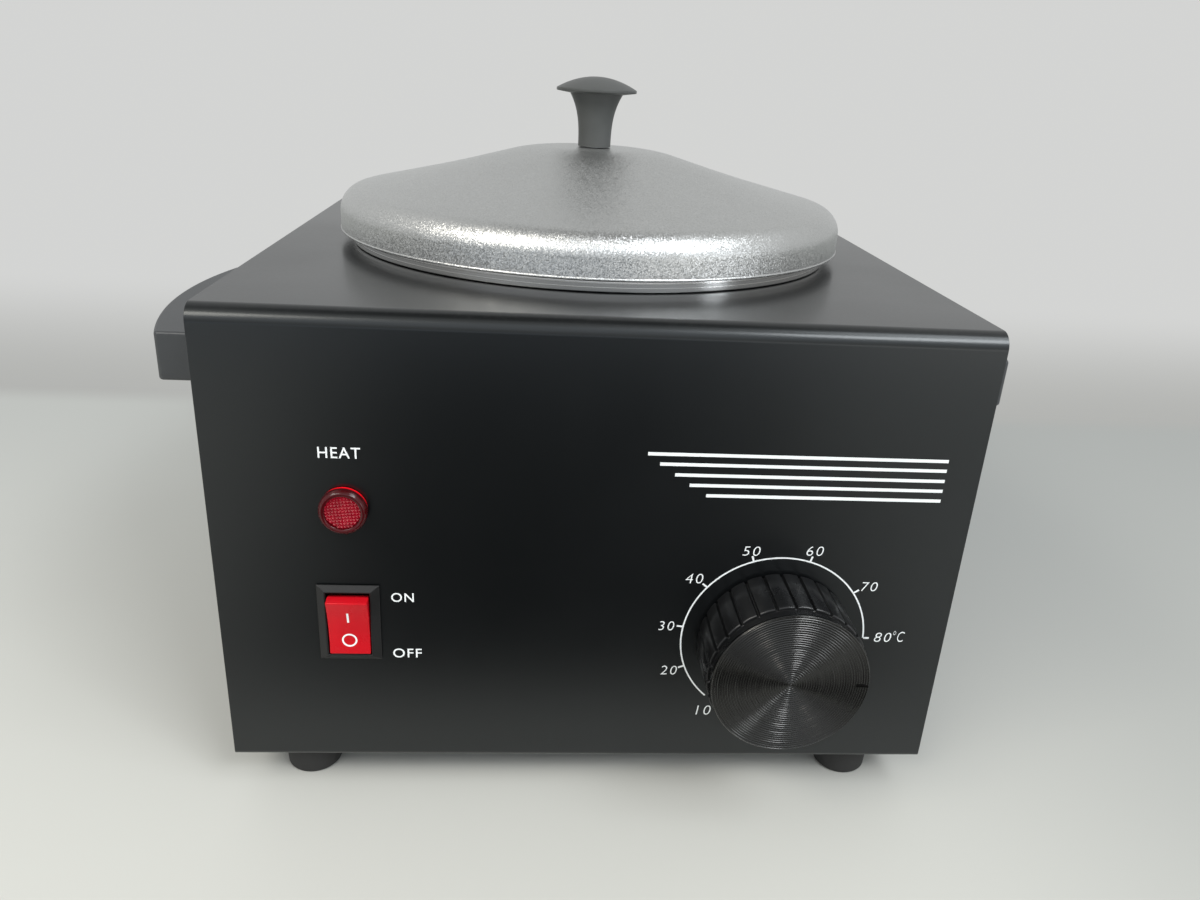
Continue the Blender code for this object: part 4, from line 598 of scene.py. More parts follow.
# the finish of every slot
slotFinish = {
    "case_coat": "caseCoat", "foot_rubber": "footRubber", "zinc_steel": "zincPlate",
    "handle_plastic": "handlePlastic", "pot_metal": "potSteel", "well_metal": "wellMetal",
    "lid_silver": "lidSilver", "knob_plastic": "dialPlastic", "dial_disc_metal": "discMetal",
    "heater_mica": "heaterMica", "insulation_wool": "glassWool", "sensor_copper": "drawnCopper",
    "fuse_metal": "fuseCan", "switch_plastic": "switchPlastic", "rocker_red": "rockerRed",
    "lens_red": "lensRed", "terminal_brass": "stampedBrass", "ceramic_cream": "creamCeramic",
    "wire_brown": "wireBrown", "wire_red": "wireRed", "wire_blue": "wireBlue",
}
for subpart in frame["record"]["subparts"]:
    for place in nodes[subpart["node"]].material_slots:
        place.material = finishes[slotFinish[subpart["material_slot"]]]
print("CAD nodes dressed")


# case

footPlaces = ("front_left", "front_right", "rear_left", "rear_right")


def footHoles(radius, low, high):
    places = [middleOf("foot_" + place) for place in footPlaces]
    return [moved(rod(radius, low, high, 32), (place.x, place.y, 0)) for place in places]


wrapSizes = dict(
    sheet=1, flange=24, topBend=4, footBend=1.5, potHole=66, footHole=2.1, pilotHole=5,
    shaftHole=3.6, glandHole=6.3, screwHole=2, screwSpacing=26, switchWidth=13.5,
    switchHeight=20, edge=0.18, halfWidth=90.8)


def addWrap(sheet, flange, topBend, footBend, potHole, footHole, pilotHole, shaftHole, glandHole,
            screwHole, screwSpacing, switchWidth, switchHeight, edge, halfWidth):
    front, back, foot, top, over = panelFace, backFace, panelFoot, topFace, 3 * sheet
    shape = plated([
        (front + flange, foot), (front, foot, footBend), (front, top, topBend),
        (back, top, topBend), (back, foot, footBend), (back - flange, foot),
        (back - flange, foot + sheet), (back - sheet, foot + sheet, footBend - sheet),
        (back - sheet, top - sheet, topBend - sheet),
        (front + sheet, top - sheet, topBend - sheet),
        (front + sheet, foot + sheet, footBend - sheet), (front + flange, foot + sheet),
    ], -halfWidth, halfWidth, 10)
    cutters = [moved(rod(potHole, top - over, top + over, 192), potMiddle)]
    cutters += footHoles(footHole, foot - over, foot + over)
    middle = middleOf("switch_frame")
    wide, high = switchWidth / 2, switchHeight / 2
    cutters.append(brick((middle.x - wide, front - over, middle.z - high),
                         (middle.x + wide, front + over, middle.z + high)))
    holes = [(pilotHole, 0, lensSpot), (shaftHole, 0, dialSpot),
             (screwHole, -0.5 * screwSpacing, dialSpot), (screwHole, 0.5 * screwSpacing, dialSpot),
             (glandHole, 0, glandSpot)]
    for radius, aside, spot in holes:
        cutters.append(turnedBy(moved(rod(radius, -over, over), (aside, 0, 0)), spot))
    shape = carved(outward(turnedBy(shape, swapped)), cutters)
    finished("outerWrap", shape, Matrix(), "housing", "case_coat", "outer_wrap", edge, 30)


traySizes = dict(
    sheet=1, bend=3, corner=2.8, tuck=1.2, ventCount=7, ventLength=22, ventWidth=3,
    ventRound=0.98, ventPitch=9, ventRow=30, footHole=2.1, screwHole=1.9, edge=0.15, over=3)


def addTray(sheet, bend, corner, tuck, ventCount, ventLength, ventWidth, ventRound, ventPitch,
            ventRow, footHole, screwHole, edge, over):
    # its walls stand just inside the wrap's front, back and top
    low = Vector((trayLow.x, panelFace + tuck, trayLow.z))
    high = Vector((trayHigh.x, backFace - tuck, topFace - tuck))
    shape = plated([
        (low.x, high.z), (low.x, low.z, bend), (high.x, low.z, bend), (high.x, high.z),
        (high.x - sheet, high.z), (high.x - sheet, low.z + sheet, bend - sheet),
        (low.x + sheet, low.z + sheet, bend - sheet), (low.x + sheet, high.z),
    ], low.y, high.y, 8)
    sideForm = plated([
        (low.y, low.z - over), (high.y, low.z - over), (high.y, high.z, corner),
        (low.y, high.z, corner),
    ], low.x - over, high.x + over, 10)
    shape = carved(shape, [outward(turnedBy(sideForm, swapped))], "INTERSECT")
    cutters = footHoles(footHole, low.z - over, low.z + over)
    wide, long = ventWidth / 2, ventLength / 2
    for row in (-1, 1):
        y = (low.y + high.y) / 2 + row * ventRow
        for i in range(ventCount):
            x = (i - (ventCount - 1) / 2) * ventPitch
            slot = drawn([(x + i * wide, y + j * long, wide * ventRound) for i, j in square],
                         True, 5)
            moved(turnedBy(slot, facingBack), (0, 0, low.z - over))
            cutters.append(deepened(slot, (0, 0, 2 * over)))
    for name in ("left_front", "left_rear", "right_front", "right_rear"):
        spot = middleOf("handle_screw_" + name)
        hole = turnedBy(rod(screwHole, -over, over), across)
        cutters.append(moved(hole, (low.x if spot.x < 0 else high.x, spot.y, spot.z)))
    finished("baseTray", carved(shape, cutters), Matrix(), "housing", "case_coat", "base_tray",
             edge, 30)


addWrap(**wrapSizes)
addTray(**traySizes)
print("case sheets bent")

screwSizes = dict(head=3.6, height=2.2, shank=1.8, cross=0.7, crossLength=3.2, crossDepth=1.2)


def screwHead(length, head, height, shank, cross, crossLength, crossDepth):
    # a pan head with a cross recess, hanging from height 0, its shank pointing up
    shape = spun([(0, height), (head, height, head * 0.55), (head, 0), (shank, 0),
                  (shank, -length), (0, -length)], 48, 5)
    wide, half, deep = cross / 2, crossLength / 2, height - crossDepth
    shape = carved(shape, [brick((-half, -wide, deep), (half, wide, height + 1)),
                           brick((-wide, -half, deep), (wide, half, height + 1))])
    return turnedBy(shape, facingDown)


footSizes = dict(top=10, bore=2.1, root=7.6, tip=7, round=1.1, recess=4.4, recessDepth=4,
                 screwLength=12.5)


def addFeet(top, bore, root, tip, round, recess, recessDepth, screwLength):
    for place in footPlaces:
        middle = middleOf("foot_" + place)
        first, second = place.split("_")
        label = first + second.capitalize() + "Foot"
        shape = spun([(bore, top), (root, top, 0.4), (tip, 0, round), (recess, 0, 0.5),
                      (recess, recessDepth), (bore, recessDepth)], 72)
        finished(label, shape, Matrix.Translation((middle.x, middle.y, 0)), "housing",
                 "foot_rubber", "foot_" + place)
        seat = Matrix.Translation((middle.x, middle.y, recessDepth - 0.3))
        finished(label + "Screw", screwHead(screwLength, **screwSizes), seat, "housing",
                 "zinc_steel", "foot_screw_" + place, 0.08)


addFeet(**footSizes)
print("feet turned")

handleSizes = dict(
    length=95, endReach=24.6, bow=32.8, gap=0.3, height=13.4, wall=2.6, edge=0.8, corner=0.9,
    bossReach=12, bossWidth=9.5, bore=1.9)


def halfMoon(half, bow, endReach, inset, inner):
    # the handle's plan: X out of the case, Y along it
    swell = bow - endReach
    radius = (half ** 2 + swell ** 2) / (2 * swell)
    centre, reach = bow - radius, half - inset
    turn = asin(reach / (radius - inset))
    shape = bmesh.new()
    start = shape.verts.new((centre + (radius - inset) * cos(turn), -reach, 0))
    swept(shape, [start], 2 * turn, 64, cent=(centre, 0, 0))
    ends = sorted(shape.verts, key=lambda vert: vert.co.y)
    corners = [shape.verts.new((inner, side * reach, 0)) for side in (-1, 1)]
    for pair in ((ends[0], corners[0]), corners, (corners[1], ends[-1])):
        shape.edges.new(pair)
    return shape


def addHandle(side, length, endReach, bow, gap, height, wall, edge, corner, bossReach, bossWidth,
              bore):
    name = "right" if side > 0 else "left"
    low, high = boxOf("handle_" + name)
    half = length / 2
    shape = deepened(halfMoon(half, bow, endReach, 0, gap), (0, 0, height))
    uprights = [
        line for line in shape.edges
        if (line.verts[0].co - line.verts[1].co).xy.length < 0.01
        and abs(line.verts[0].co.y) > half - 0.5 and line.verts[0].co.x > wall
    ]
    bevelled(shape, uprights, corner, 8)
    rims = [
        line for line in shape.edges
        if abs(line.verts[0].co.z - line.verts[1].co.z) < 0.01
        and max(vert.co.x for vert in line.verts) > wall
    ]
    bevelled(shape, rims, edge, 4)

    pocket = deepened(halfMoon(half, bow, endReach, wall, wall), (0, 0, height - wall + 2))
    bossEnd = half - wall - bossWidth
    bosses = [brick((0, -half - 1, -3), (bossReach, -bossEnd, height + 3)),
              brick((0, bossEnd, -3), (bossReach, half + 1, height + 3))]
    cutters = [carved(moved(pocket, (0, 0, -2)), bosses)]
    for end in (-1, 1):
        offset = end * (half - wall - bossWidth / 2)
        cutters.append(moved(turnedBy(rod(bore, -1, 10, 32), across), (0, offset, height / 2)))
    spot = Matrix.Translation((trayHigh.x if side > 0 else trayLow.x, (low.y + high.y) / 2, low.z))
    if side < 0:
        spot = spot @ aboutZ(180)
    finished(name + "Handle", carved(shape, cutters), spot, "housing", "handle_plastic",
             "handle_" + name, 0.25, 30)


for side in (-1, 1):
    addHandle(side, **handleSizes)
print("handles moulded")


# pot, well and lid

potSizes = dict(
    inside=63.8, outside=65, corner=9, wall=1.2, rim=71.7, roll=1.6, rimRound=0.7,
    groove=0.12, grooves=(2.25, 1.2), clearance=0.12)


def addPot(inside, outside, corner, wall, rim, roll, rimRound, groove, grooves, clearance):
    floor, low, top = potLow.z + wall, topFace + clearance, rimTop
    lines = []
    for level in grooves:
        lines += [(rim, low + level + groove), (rim - groove, low + level),
                  (rim, low + level - groove)]
    shape = spun([
        (0, floor), (inside, floor, corner - wall), (inside, top, rimRound), (rim, top, rimRound),
        *lines, (rim, low, 0.3), (rim - roll, low, 0.3), (rim - roll, top - wall, 0.5),
        (outside, top - wall, 0.6), (outside, potLow.z, corner), (0, potLow.z),
    ], 224, 8)
    finished("potShell", shape, onPot, "pot", "pot_metal", "pot")


wellSizes = dict(inside=66, wall=1.2, corner=9, flange=8)


def addWell(inside, wall, corner, flange):
    low, high = boxOf("heating_well")
    floor, outside = low.z + wall, inside + wall
    shape = spun([
        (0, floor), (inside, floor, corner), (inside, high.z, 0.6), (outside + flange, high.z),
        (outside + flange, high.z - wall), (outside, high.z - wall, 0.8),
        (outside, low.z, corner + wall), (0, low.z),
    ], 192, 8)
    finished("heatingWell", shape, onPot, "housing", "well_metal", "heating_well")


lidSizes = dict(
    gap=0.3, radius=75.2, skirt=10.5, shoulder=6.4, swell=0.25, swellRound=400,
    crownRadius=19.2, wall=1.2, lip=0.15, lipHeight=0.7, ringOutside=63, hole=2.1,
    crownRound=42)


def addLid(gap, radius, skirt, shoulder, swell, swellRound, crownRadius, wall, lip, lipHeight,
           ringOutside, hole, crownRound):
    foot = rimTop + gap
    bend, inner, ringInside = foot + skirt, radius - wall, ringOutside - wall
    halfway, height = (radius - shoulder + crownRadius) / 2, (bend + crown) / 2 + swell
    shape = spun([
        (hole, crown), (crownRadius, crown, crownRound), (halfway, height, swellRound),
        (radius, bend, shoulder), (radius, foot + lipHeight, 0.15),
        (radius + lip, foot + lipHeight * 0.7, 0.2), (radius + lip, foot, 0.3),
        (ringOutside, foot, 0.3), (ringOutside, lidLow.z, 0.4), (ringInside, lidLow.z, 0.4),
        (ringInside, foot + wall, 0.5), (inner, foot + wall, 0.5),
        (inner, bend - wall, shoulder - wall), (halfway, height - wall, swellRound),
        (crownRadius, crown - wall, crownRound), (hole, crown - wall),
    ], 224, 10)
    finished("lidShell", shape, onPot, "lid", "lid_silver", "lid")


gripSizes = dict(
    base=0.3, stem=4.9, neck=7.8, neckHeight=15.2, cap=11.9, rimHeight=16.6, rim=0.8, height=20,
    bore=2.2, boreDepth=10.5, flareSteps=9, domeSteps=10)


def addGrip(base, stem, neck, neckHeight, cap, rimHeight, rim, height, bore, boreDepth,
            flareSteps, domeSteps):
    shares = [i / flareSteps for i in range(flareSteps + 1)]
    flare = [(stem + (neck - stem) * share ** 3, base + (neckHeight - base) * share)
             for share in shares]
    shares = [i / domeSteps for i in range(1, domeSteps + 1)]
    dome = [(cap * (1 - share), rimHeight + (height - rimHeight) * (1 - (1 - share) ** 2))
            for share in shares]
    shape = spun([
        (0, base + boreDepth), (bore, base + boreDepth), (bore, base), *flare,
        (cap, rimHeight - rim, 0.3), (cap, rimHeight, 0.3), *dome,
    ], 128, 4)
    place = Matrix.Translation((potMiddle.x, potMiddle.y, crown))
    finished("lidKnob", shape, place, "lid", "knob_plastic", "lid_knob", look="lidKnobPlastic")


lidScrewSizes = dict(bore=2.1, washer=7, round=0.25, length=11, gap=0.3)


def addLidScrew(bore, washer, round, length, gap):
    low, high = boxOf("lid_washer")
    shape = spun([(bore, high.z), (washer, high.z, round), (washer, low.z, round),
                  (bore, low.z)], 96)
    finished("lidWasher", shape, onPot, "lid", "zinc_steel", "lid_washer")
    place = Matrix.Translation((potMiddle.x, potMiddle.y, low.z - gap))
    finished("lidScrew", screwHead(length, **screwSizes), place, "lid", "zinc_steel",
             "lid_screw", 0.08)


addPot(**potSizes)
addWell(**wellSizes)
addLid(**lidSizes)
addGrip(**gripSizes)
addLidScrew(**lidScrewSizes)
print("pot, well and lid spun")


# front panel: dial, switch and lamp

knobSizes = dict(
    radius=19.5, flutes=27, firstFlute=11, fluteWidth=0.95, fluteDepth=0.8, landSteps=7,
    fluteForm=((-1, 0), (-0.62, 0.72), (-0.25, 1), (0.25, 1), (0.62, 0.72), (1, 0)),
    crown=0.10, standoff=0.9, flutedEnd=15.9, neck=18.6, neckEnd=18, neckEdge=0.15, round=0.45,
    roundSteps=4, wall=17, floor=13.8, hub=6, hubStart=3, bore=3.3, shaftEnd=13.5,
    recess=4.3, recessFloor=15.4)


def addDialKnob(radius, flutes, firstFlute, fluteWidth, fluteDepth, landSteps, fluteForm, crown,
                standoff, flutedEnd, neck, neckEnd, neckEdge, round, roundSteps, wall, floor, hub,
                hubStart, bore, shaftEnd, recess, recessFloor):
    # one flute and its land in plan, then copied round
    pitch = 360 / flutes
    half = 0.5 * fluteWidth / radius * 180 / pi
    plan = [(share * half, radius - crown - depth * (fluteDepth - crown))
            for share, depth in fluteForm]
    for i in range(1, landSteps):
        share = i / landSteps
        plan.append((half + (pitch - 2 * half) * share, radius - crown * (2 * share - 1) ** 2))
    plan.append((pitch - half, radius - crown))
    shape = bmesh.new()
    verts = []
    for angle, reach in plan:
        turn = radians(angle + firstFlute)
        verts.append(shape.verts.new((reach * cos(turn), reach * sin(turn), standoff)))
    edges = [shape.edges.new(pair) for pair in zip(verts, verts[1:])]
    for i in range(1, flutes):
        swept(shape, verts + edges, radians(i * pitch), 1, use_duplicate=True)
    merged(shape, 0.01)
    first = list(shape.edges)
    turns = [0.5 * pi * i / roundSteps for i in range(roundSteps + 1)]
    start = flutedEnd - round
    rounding = [(start + round * sin(turn), round * (cos(last) - cos(turn)))
                for last, turn in zip(turns, turns[1:])]
    grownRing(shape, first, [
        (start, None), *rounding, (flutedEnd, neck), (neckEnd - neckEdge, neck),
        (neckEnd, neck - neckEdge), (neckEnd, recess), (recessFloor, recess), (recessFloor, 0),
    ])
    grownRing(shape, first, [
        (standoff, wall), (floor, wall), (floor, hub), (hubStart, hub), (hubStart, bore),
        (shaftEnd, bore), (shaftEnd, 0),
    ])
    merged(shape, 0.002)
    bmesh.ops.dissolve_degenerate(shape, dist=0.0005, edges=shape.edges)
    finished("dialKnob", outward(shape), dialSpot, "dial", "knob_plastic", "dial_knob", 0, 28)


def grownRing(shape, ring, levels):
    # carries a ring of edges through heights and radii;
    # a radius under 1 draws the ring in by that much
    for height, radius in levels:
        grown = bmesh.ops.extrude_edge_only(shape, edges=ring)["geom"]
        verts = [item for item in grown if isinstance(item, bmesh.types.BMVert)]
        ring = [item for item in grown if isinstance(item, bmesh.types.BMEdge)
                and item.verts[0] in verts and item.verts[1] in verts]
        for vert in verts:
            vert.co.z = height
            reach = vert.co.xy.length
            if radius == 0:
                vert.co.xy = (0, 0)
            elif radius is not None:
                vert.co.xy *= (reach - radius if radius < 1 else radius) / reach


discSizes = dict(
    radius=19, thickness=0.8, edge=0.25, ringPitch=0.6, ringDepth=0.03, middle=0.6, spigot=4,
    notchLength=3.2, notchWidth=0.95, notchDepth=0.55)


def addDialDisc(radius, thickness, edge, ringPitch, ringDepth, middle, spigot, notchLength,
                notchWidth, notchDepth):
    low, high = boxOf("dial_disc")
    face, end = panelFace - low.y, panelFace - high.y
    back, reach, half = face - thickness, radius - edge - 0.1, notchWidth / 2
    rings = []
    while reach > middle:
        rings += [(reach, face), (reach - ringPitch * 0.5, face - ringDepth)]
        reach -= ringPitch
    shape = spun([
        (0, face), *rings[::-1], (radius - edge, face), (radius, face - edge), (radius, back),
        (spigot, back), (spigot, end), (0, end),
    ], 288)
    notch = brick((radius - notchLength, -half, face - notchDepth), (radius + 1, half, face + 1))
    finished("dialDisc", carved(shape, [notch]), dialSpot, "dial", "dial_disc_metal", "dial_disc")


addDialKnob(**knobSizes)
addDialDisc(**discSizes)
print("dial turned")

rockerSizes = dict(
    width=9.9, length=15.8, crest=3.4, upperCrest=3, lowerCrest=4, valley=1.75,
    side=((0.5, 0.15, 0.8), (0.43, -0.47, 0.8), (0.19, -1, 0.5)), pivotDepth=0.8, tilt=11,
    valleyRound=30, crestRound=0.35, edge=0.3, pin=0.8, pinLength=11.8, markPlace=2.95,
    markLength=3, markWidth=0.5, ringPlace=-3.9, ringRadius=1.85, ringShare=0.85,
    markProud=0.03)


def draped(shape, under, proud):
    # gives a flat shape a thickness and lays it on the surface below
    deepened(shape, (0, 0, 1))
    surface = BVHTree.FromBMesh(under)
    middle = sum(vert.co.z for vert in shape.verts) / len(shape.verts)
    for vert in shape.verts:
        hit = surface.ray_cast(Vector((vert.co.x, vert.co.y, 20)), Vector((0, 0, -1)))[0]
        vert.co.z = hit.z + (proud if vert.co.z > middle else -proud)
    return shape


def addRocker(width, length, crest, upperCrest, lowerCrest, valley, side, pivotDepth, tilt,
              valleyRound, crestRound, edge, pin, pinLength, markPlace, markLength, markWidth,
              ringPlace, ringRadius, ringShare, markProud):
    half = length / 2
    near = [(length * out, crest * up, round) for out, up, round in side]
    far = [(-out, up, round) for out, up, round in near[::-1]]
    shape = plated([(0, valley, valleyRound), (half, upperCrest, crestRound), *near, *far,
                    (-half, lowerCrest, crestRound)], -width / 2, width / 2, 8)
    turnedBy(shape, aboutZ(90))
    rims = [line for line in shape.edges
            if abs(line.verts[0].co.x - line.verts[1].co.x) < 0.001]
    bevelled(shape, rims, edge, 3)
    pins = turnedBy(rod(pin, -pinLength / 2, pinLength / 2, 24), across)
    shape = carved(shape, [pins], "UNION")

    stroke = bmesh.new()
    bmesh.ops.create_grid(stroke, x_segments=2, y_segments=8, size=0.5)
    moved(scaled(stroke, (markWidth, markLength, 1)), (0, markPlace, 0))
    loop = bmesh.new()
    ends = [loop.verts.new((ringRadius - inset, 0, 0)) for inset in (0, markWidth * ringShare)]
    swept(loop, [*ends, loop.edges.new(ends)], 2 * pi, 48, use_merge=True)
    moved(merged(loop, 0.001), (0, ringPlace, 0))
    marks = joined([draped(mark, shape, markProud) for mark in (stroke, loop)])

    place = (switchSpot @ Matrix.Translation((0, 0, -pivotDepth))
             @ Matrix.Rotation(radians(tilt), 4, "X"))
    finished("switchRocker", shape, place, "rocker", "rocker_red", "switch_rocker")
    finished("rockerMarks", marks, place, "rocker", "rocker_red", look="printWhite")


addRocker(**rockerSizes)

bezelSizes = dict(
    width=15, height=21, edge=0.5, proud=1.5, windowWidth=10.5, windowHeight=17.4, brim=0.25,
    well=6.2, bodyWidth=12.9, bodyHeight=19.4, depth=18, gap=0.3)


def addBezel(width, height, edge, proud, windowWidth, windowHeight, brim, well, bodyWidth,
             bodyHeight, depth, gap):
    # the switch's body behind the panel, and a rim that slopes up to the window
    body, rim = (bodyWidth / 2, bodyHeight / 2), (width / 2, height / 2)
    window = (windowWidth / 2, windowHeight / 2)
    levels = [
        (*body, -depth), (*body, gap), (*rim, gap), (*rim, edge),
        (window[0] + brim, window[1] + brim, proud), (*window, proud - brim / 2),
        (*window, -well),
    ]
    shape = bmesh.new()
    loops = []
    for wide, high, level in levels:
        verts = [shape.verts.new((x * wide, y * high, level)) for x, y in square]
        loops.append([shape.edges.new(pair) for pair in zip(verts, verts[1:] + verts[:1])])
    for first, second in zip(loops, loops[1:]):
        bmesh.ops.bridge_loops(shape, edges=first + second)
    for loop in (loops[0], loops[-1]):
        bmesh.ops.contextual_create(shape, geom=loop)
    pin, pinEnd = rockerSizes["pin"] + gap, rockerSizes["pinLength"] / 2 + gap
    hole = turnedBy(rod(pin, -pinEnd, pinEnd, 24), across)
    cutters = [moved(hole, (0, 0, -rockerSizes["pivotDepth"]))]
    space = Vector((gap, gap, gap))
    for node in ("switch_terminal_1", "switch_terminal_2"):
        low, high = boxOf(node)
        cutters.append(turnedBy(brick(low - space, high + space), switchSpot.inverted()))
    finished("switchBezel", carved(outward(shape), cutters), switchSpot, "housing",
             "switch_plastic", "switch_frame", 0.12)


addBezel(**bezelSizes)

lampLensSizes = dict(
    radius=5.6, proud=3.1, ringTop=4.9, window=4.1, windowDepth=1, gap=0.3, spigot=3.4,
    spigotLength=4, cells=11, cellHeight=0.34, cellTurn=6, cellDepth=0.25)


def addLampLens(radius, proud, ringTop, window, windowDepth, gap, spigot, spigotLength, cells,
                cellHeight, cellTurn, cellDepth):
    floor = proud - windowDepth
    ring = spun([
        (0, floor - gap), (window, floor - gap), (window + 0.1, proud - 0.25, 0.2),
        (ringTop, proud, 0.5), (radius, proud - 0.8, 0.8), (radius, gap, 0.2), (spigot, gap),
        (spigot, -spigotLength), (0, -spigotLength),
    ], 96, 6)
    finished("lampLens", ring, lensSpot, "housing", "lens_red", "pilot_lens")
    waffle = bmesh.new()
    bmesh.ops.create_grid(waffle, x_segments=cells, y_segments=cells, size=window + 0.2)
    bmesh.ops.poke(waffle, faces=list(waffle.faces), offset=cellHeight)
    outside = [face for face in waffle.faces
               if face.calc_center_median().xy.length > window + 0.12]
    bmesh.ops.delete(waffle, geom=outside, context="FACES")
    turnedBy(waffle, aboutZ(cellTurn))
    moved(deepened(waffle, (0, 0, -cellDepth)), (0, 0, floor))
    finished("lampWaffle", waffle, lensSpot, "housing", "lens_red", smooth=20, look="lensGlow")


addLampLens(**lampLensSizes)
print("switch and lamp fitted")

glandSizes = dict(bore=4, head=8.5, headHeight=4.5, body=6, length=11, gap=0.3, edge=0.9)


def addGland(bore, head, headHeight, body, length, gap, edge):
    shape = spun([
        (bore, headHeight, 0.6), (head - 1.6, headHeight, 0.5),
        (head - 0.5, headHeight * 0.6, 1.2), (head, gap + edge, 0.3), (head, gap, 0.2),
        (body, gap), (body, -length, 0.4), (bore, -length, 0.4),
    ], 96, 6)
    finished("cordGland", shape, glandSpot, "housing", "switch_plastic", "cord_gland")


addGland(**glandSizes)

# print on the front panel, in shares of the case's width from the middle of its foot

printSizes = dict(
    width=182, proud=0.04, sunk=0.02,
    words=dict(lean=0, weight=0.004, spacing=1.12, boxes={
        "HEAT": (-0.3554, -0.3029, 0.4630, 0.4778), "ON": (-0.2715, -0.2417, 0.2564, 0.2700),
        "OFF": (-0.2716, -0.2329, 0.1681, 0.1825),
    }),
    numbers=dict(lean=0.13, weight=-0.012, spacing=1.2, boxes={
        "10": (0.1556, 0.1770, 0.0753, 0.0914), "20": (0.0990, 0.1221, 0.1442, 0.1588),
        "30": (0.0907, 0.1124, 0.2174, 0.2318), "40": (0.1218, 0.1457, 0.2924, 0.3071),
        "50": (0.1953, 0.2191, 0.3362, 0.3503), "60": (0.2822, 0.3053, 0.3380, 0.3522),
        "70": (0.3663, 0.3885, 0.2846, 0.2986), "80": (0.3976, 0.4217, 0.2027, 0.2177),
        "°C": (0.4239, 0.4402, 0.2030, 0.2206),
    }),
    stripeHeight=0.0045, stripeEnd=0.4517,
    stripes=((0.0578, 0.4803), (0.0742, 0.4665), (0.0948, 0.4519), (0.1149, 0.4377),
             (0.1378, 0.4234)),
    arc=(0.2522, 0.2049, 0.1288), arcWidth=0.0021, arcRun=(2, 228),
    ticks=(200.7, 171.7, 140.7, 108.2, 73.4, 36.2, 1.7), tickLength=0.0078, tickWidth=0.0026)


def lettered(words, box, low, high, lean, weight, spacing):
    # a word as a thin solid that fills its box on the panel
    curve = bpy.data.curves.new("word", "FONT")
    curve.body = words
    curve.extrude = 0.02
    curve.offset = weight
    curve.shear = lean
    curve.space_character = spacing
    curve.resolution_u = 6
    holder = placedIn("word", curve)
    bpy.context.view_layer.update()
    depsgraph = bpy.context.evaluated_depsgraph_get()
    flat = bpy.data.meshes.new_from_object(holder.evaluated_get(depsgraph))
    shape = bmesh.new()
    shape.from_mesh(flat)
    bpy.data.objects.remove(holder)
    bpy.data.curves.remove(curve)
    bpy.data.meshes.remove(flat)
    merged(shape, 0.0001)
    start, end = [Vector([pick(vert.co[i] for vert in shape.verts) for i in range(3)])
                  for pick in (min, max)]
    left, right, foot, head = box
    size = end - start
    scaled(moved(shape, -start),
           ((right - left) / size.x, (head - foot) / size.y, (high - low) / size.z))
    return moved(shape, (left, foot, low))


def printedWords(width, low, high, boxes, **style):
    return joined([lettered(word, [share * width for share in box], low, high, **style)
                   for word, box in boxes.items()])


def addPrint(width, proud, sunk, words, numbers, stripeHeight, stripeEnd, stripes, arc, arcWidth,
             arcRun, ticks, tickLength, tickWidth):
    low, high = -sunk, proud
    half, halfTick = stripeHeight / 2, tickWidth * width / 2
    bars = [brick((left * width, (level - half) * width, low),
                  (stripeEnd * width, (level + half) * width, high)) for left, level in stripes]
    right, up, radius = (share * width for share in arc)
    inner, outer = radius - arcWidth * width / 2, radius + arcWidth * width / 2
    scale = bmesh.new()
    face = scale.faces.new([scale.verts.new((reach, 0, level)) for reach, level in
                            ((inner, low), (outer, low), (outer, high), (inner, high))])
    turnedBy(scale, aboutZ(arcRun[0]))
    swept(scale, [face, *face.edges, *face.verts], radians(arcRun[1] - arcRun[0]), 120)
    bmesh.ops.holes_fill(scale, edges=scale.edges, sides=4)
    marks = [outward(scale)]
    for angle in ticks:
        mark = brick((outer - 0.02, -halfTick, low), (outer + tickLength * width, halfTick, high))
        marks.append(turnedBy(mark, aboutZ(angle)))
    place = Matrix.Translation((0, panelFace, panelFoot)) @ facingOut
    pieces = {
        "panelWords": printedWords(width, low, high, **words),
        "dialNumbers": printedWords(width, low, high, **numbers),
        "panelStripes": joined(bars), "dialScale": moved(joined(marks), (right, up, 0)),
    }
    for name, shape in pieces.items():
        finished(name, shape, place, "housing", "case_coat", look="printWhite")


addPrint(**printSizes)
print("panel printed")


# camera, light and floor, from here on in metres

cameraSizes = dict(
    place=(-0.01614, -0.28463, 0.17936), right=(0.99708, -0.05658, 0.05209),
    up=(-0.02669, 0.38065, 0.92439), forward=(0.0721, 0.9230, -0.3780), lens=27.945, sensor=36)


def addCamera(place, right, up, forward, lens, sensor):
    data = bpy.data.cameras.new("camera")
    data.lens = lens
    data.sensor_width = sensor
    data.clip_start = 0.01
    camera = placedIn("camera", data)
    right, up, forward = (Vector(way).normalized() for way in (right, up, forward))
    turn = Matrix((right, up, -forward)).transposed().to_4x4()
    camera.matrix_world = Matrix.Translation(place) @ turn
    bpy.context.scene.camera = camera


lampSizes = {
    "frontHigh": dict(way=(0.43, -0.60, 0.64), far=1.3, size=(0.5, 0.32), power=6.2,
                      colour=(0.95, 0.975, 1)),
    "sideRight": dict(way=(0.823, -0.55, 0.14), far=1.2, size=(0.2, 0.25), power=0.8,
                      colour=(0.9, 0.95, 1)),
    "keyRight": dict(way=(0.464, -0.343, 0.817), far=1.3, size=(0.4, 0.4), power=2.4,
                     colour=(0.92, 0.96, 1)),
    "frontLeft": dict(way=(-0.52, -0.53, 0.63), far=1.3, size=(0.76, 0.4), power=7.2,
                      colour=(1, 0.955, 0.87)),
}
lampAim = Vector((0, 0, 0.08))


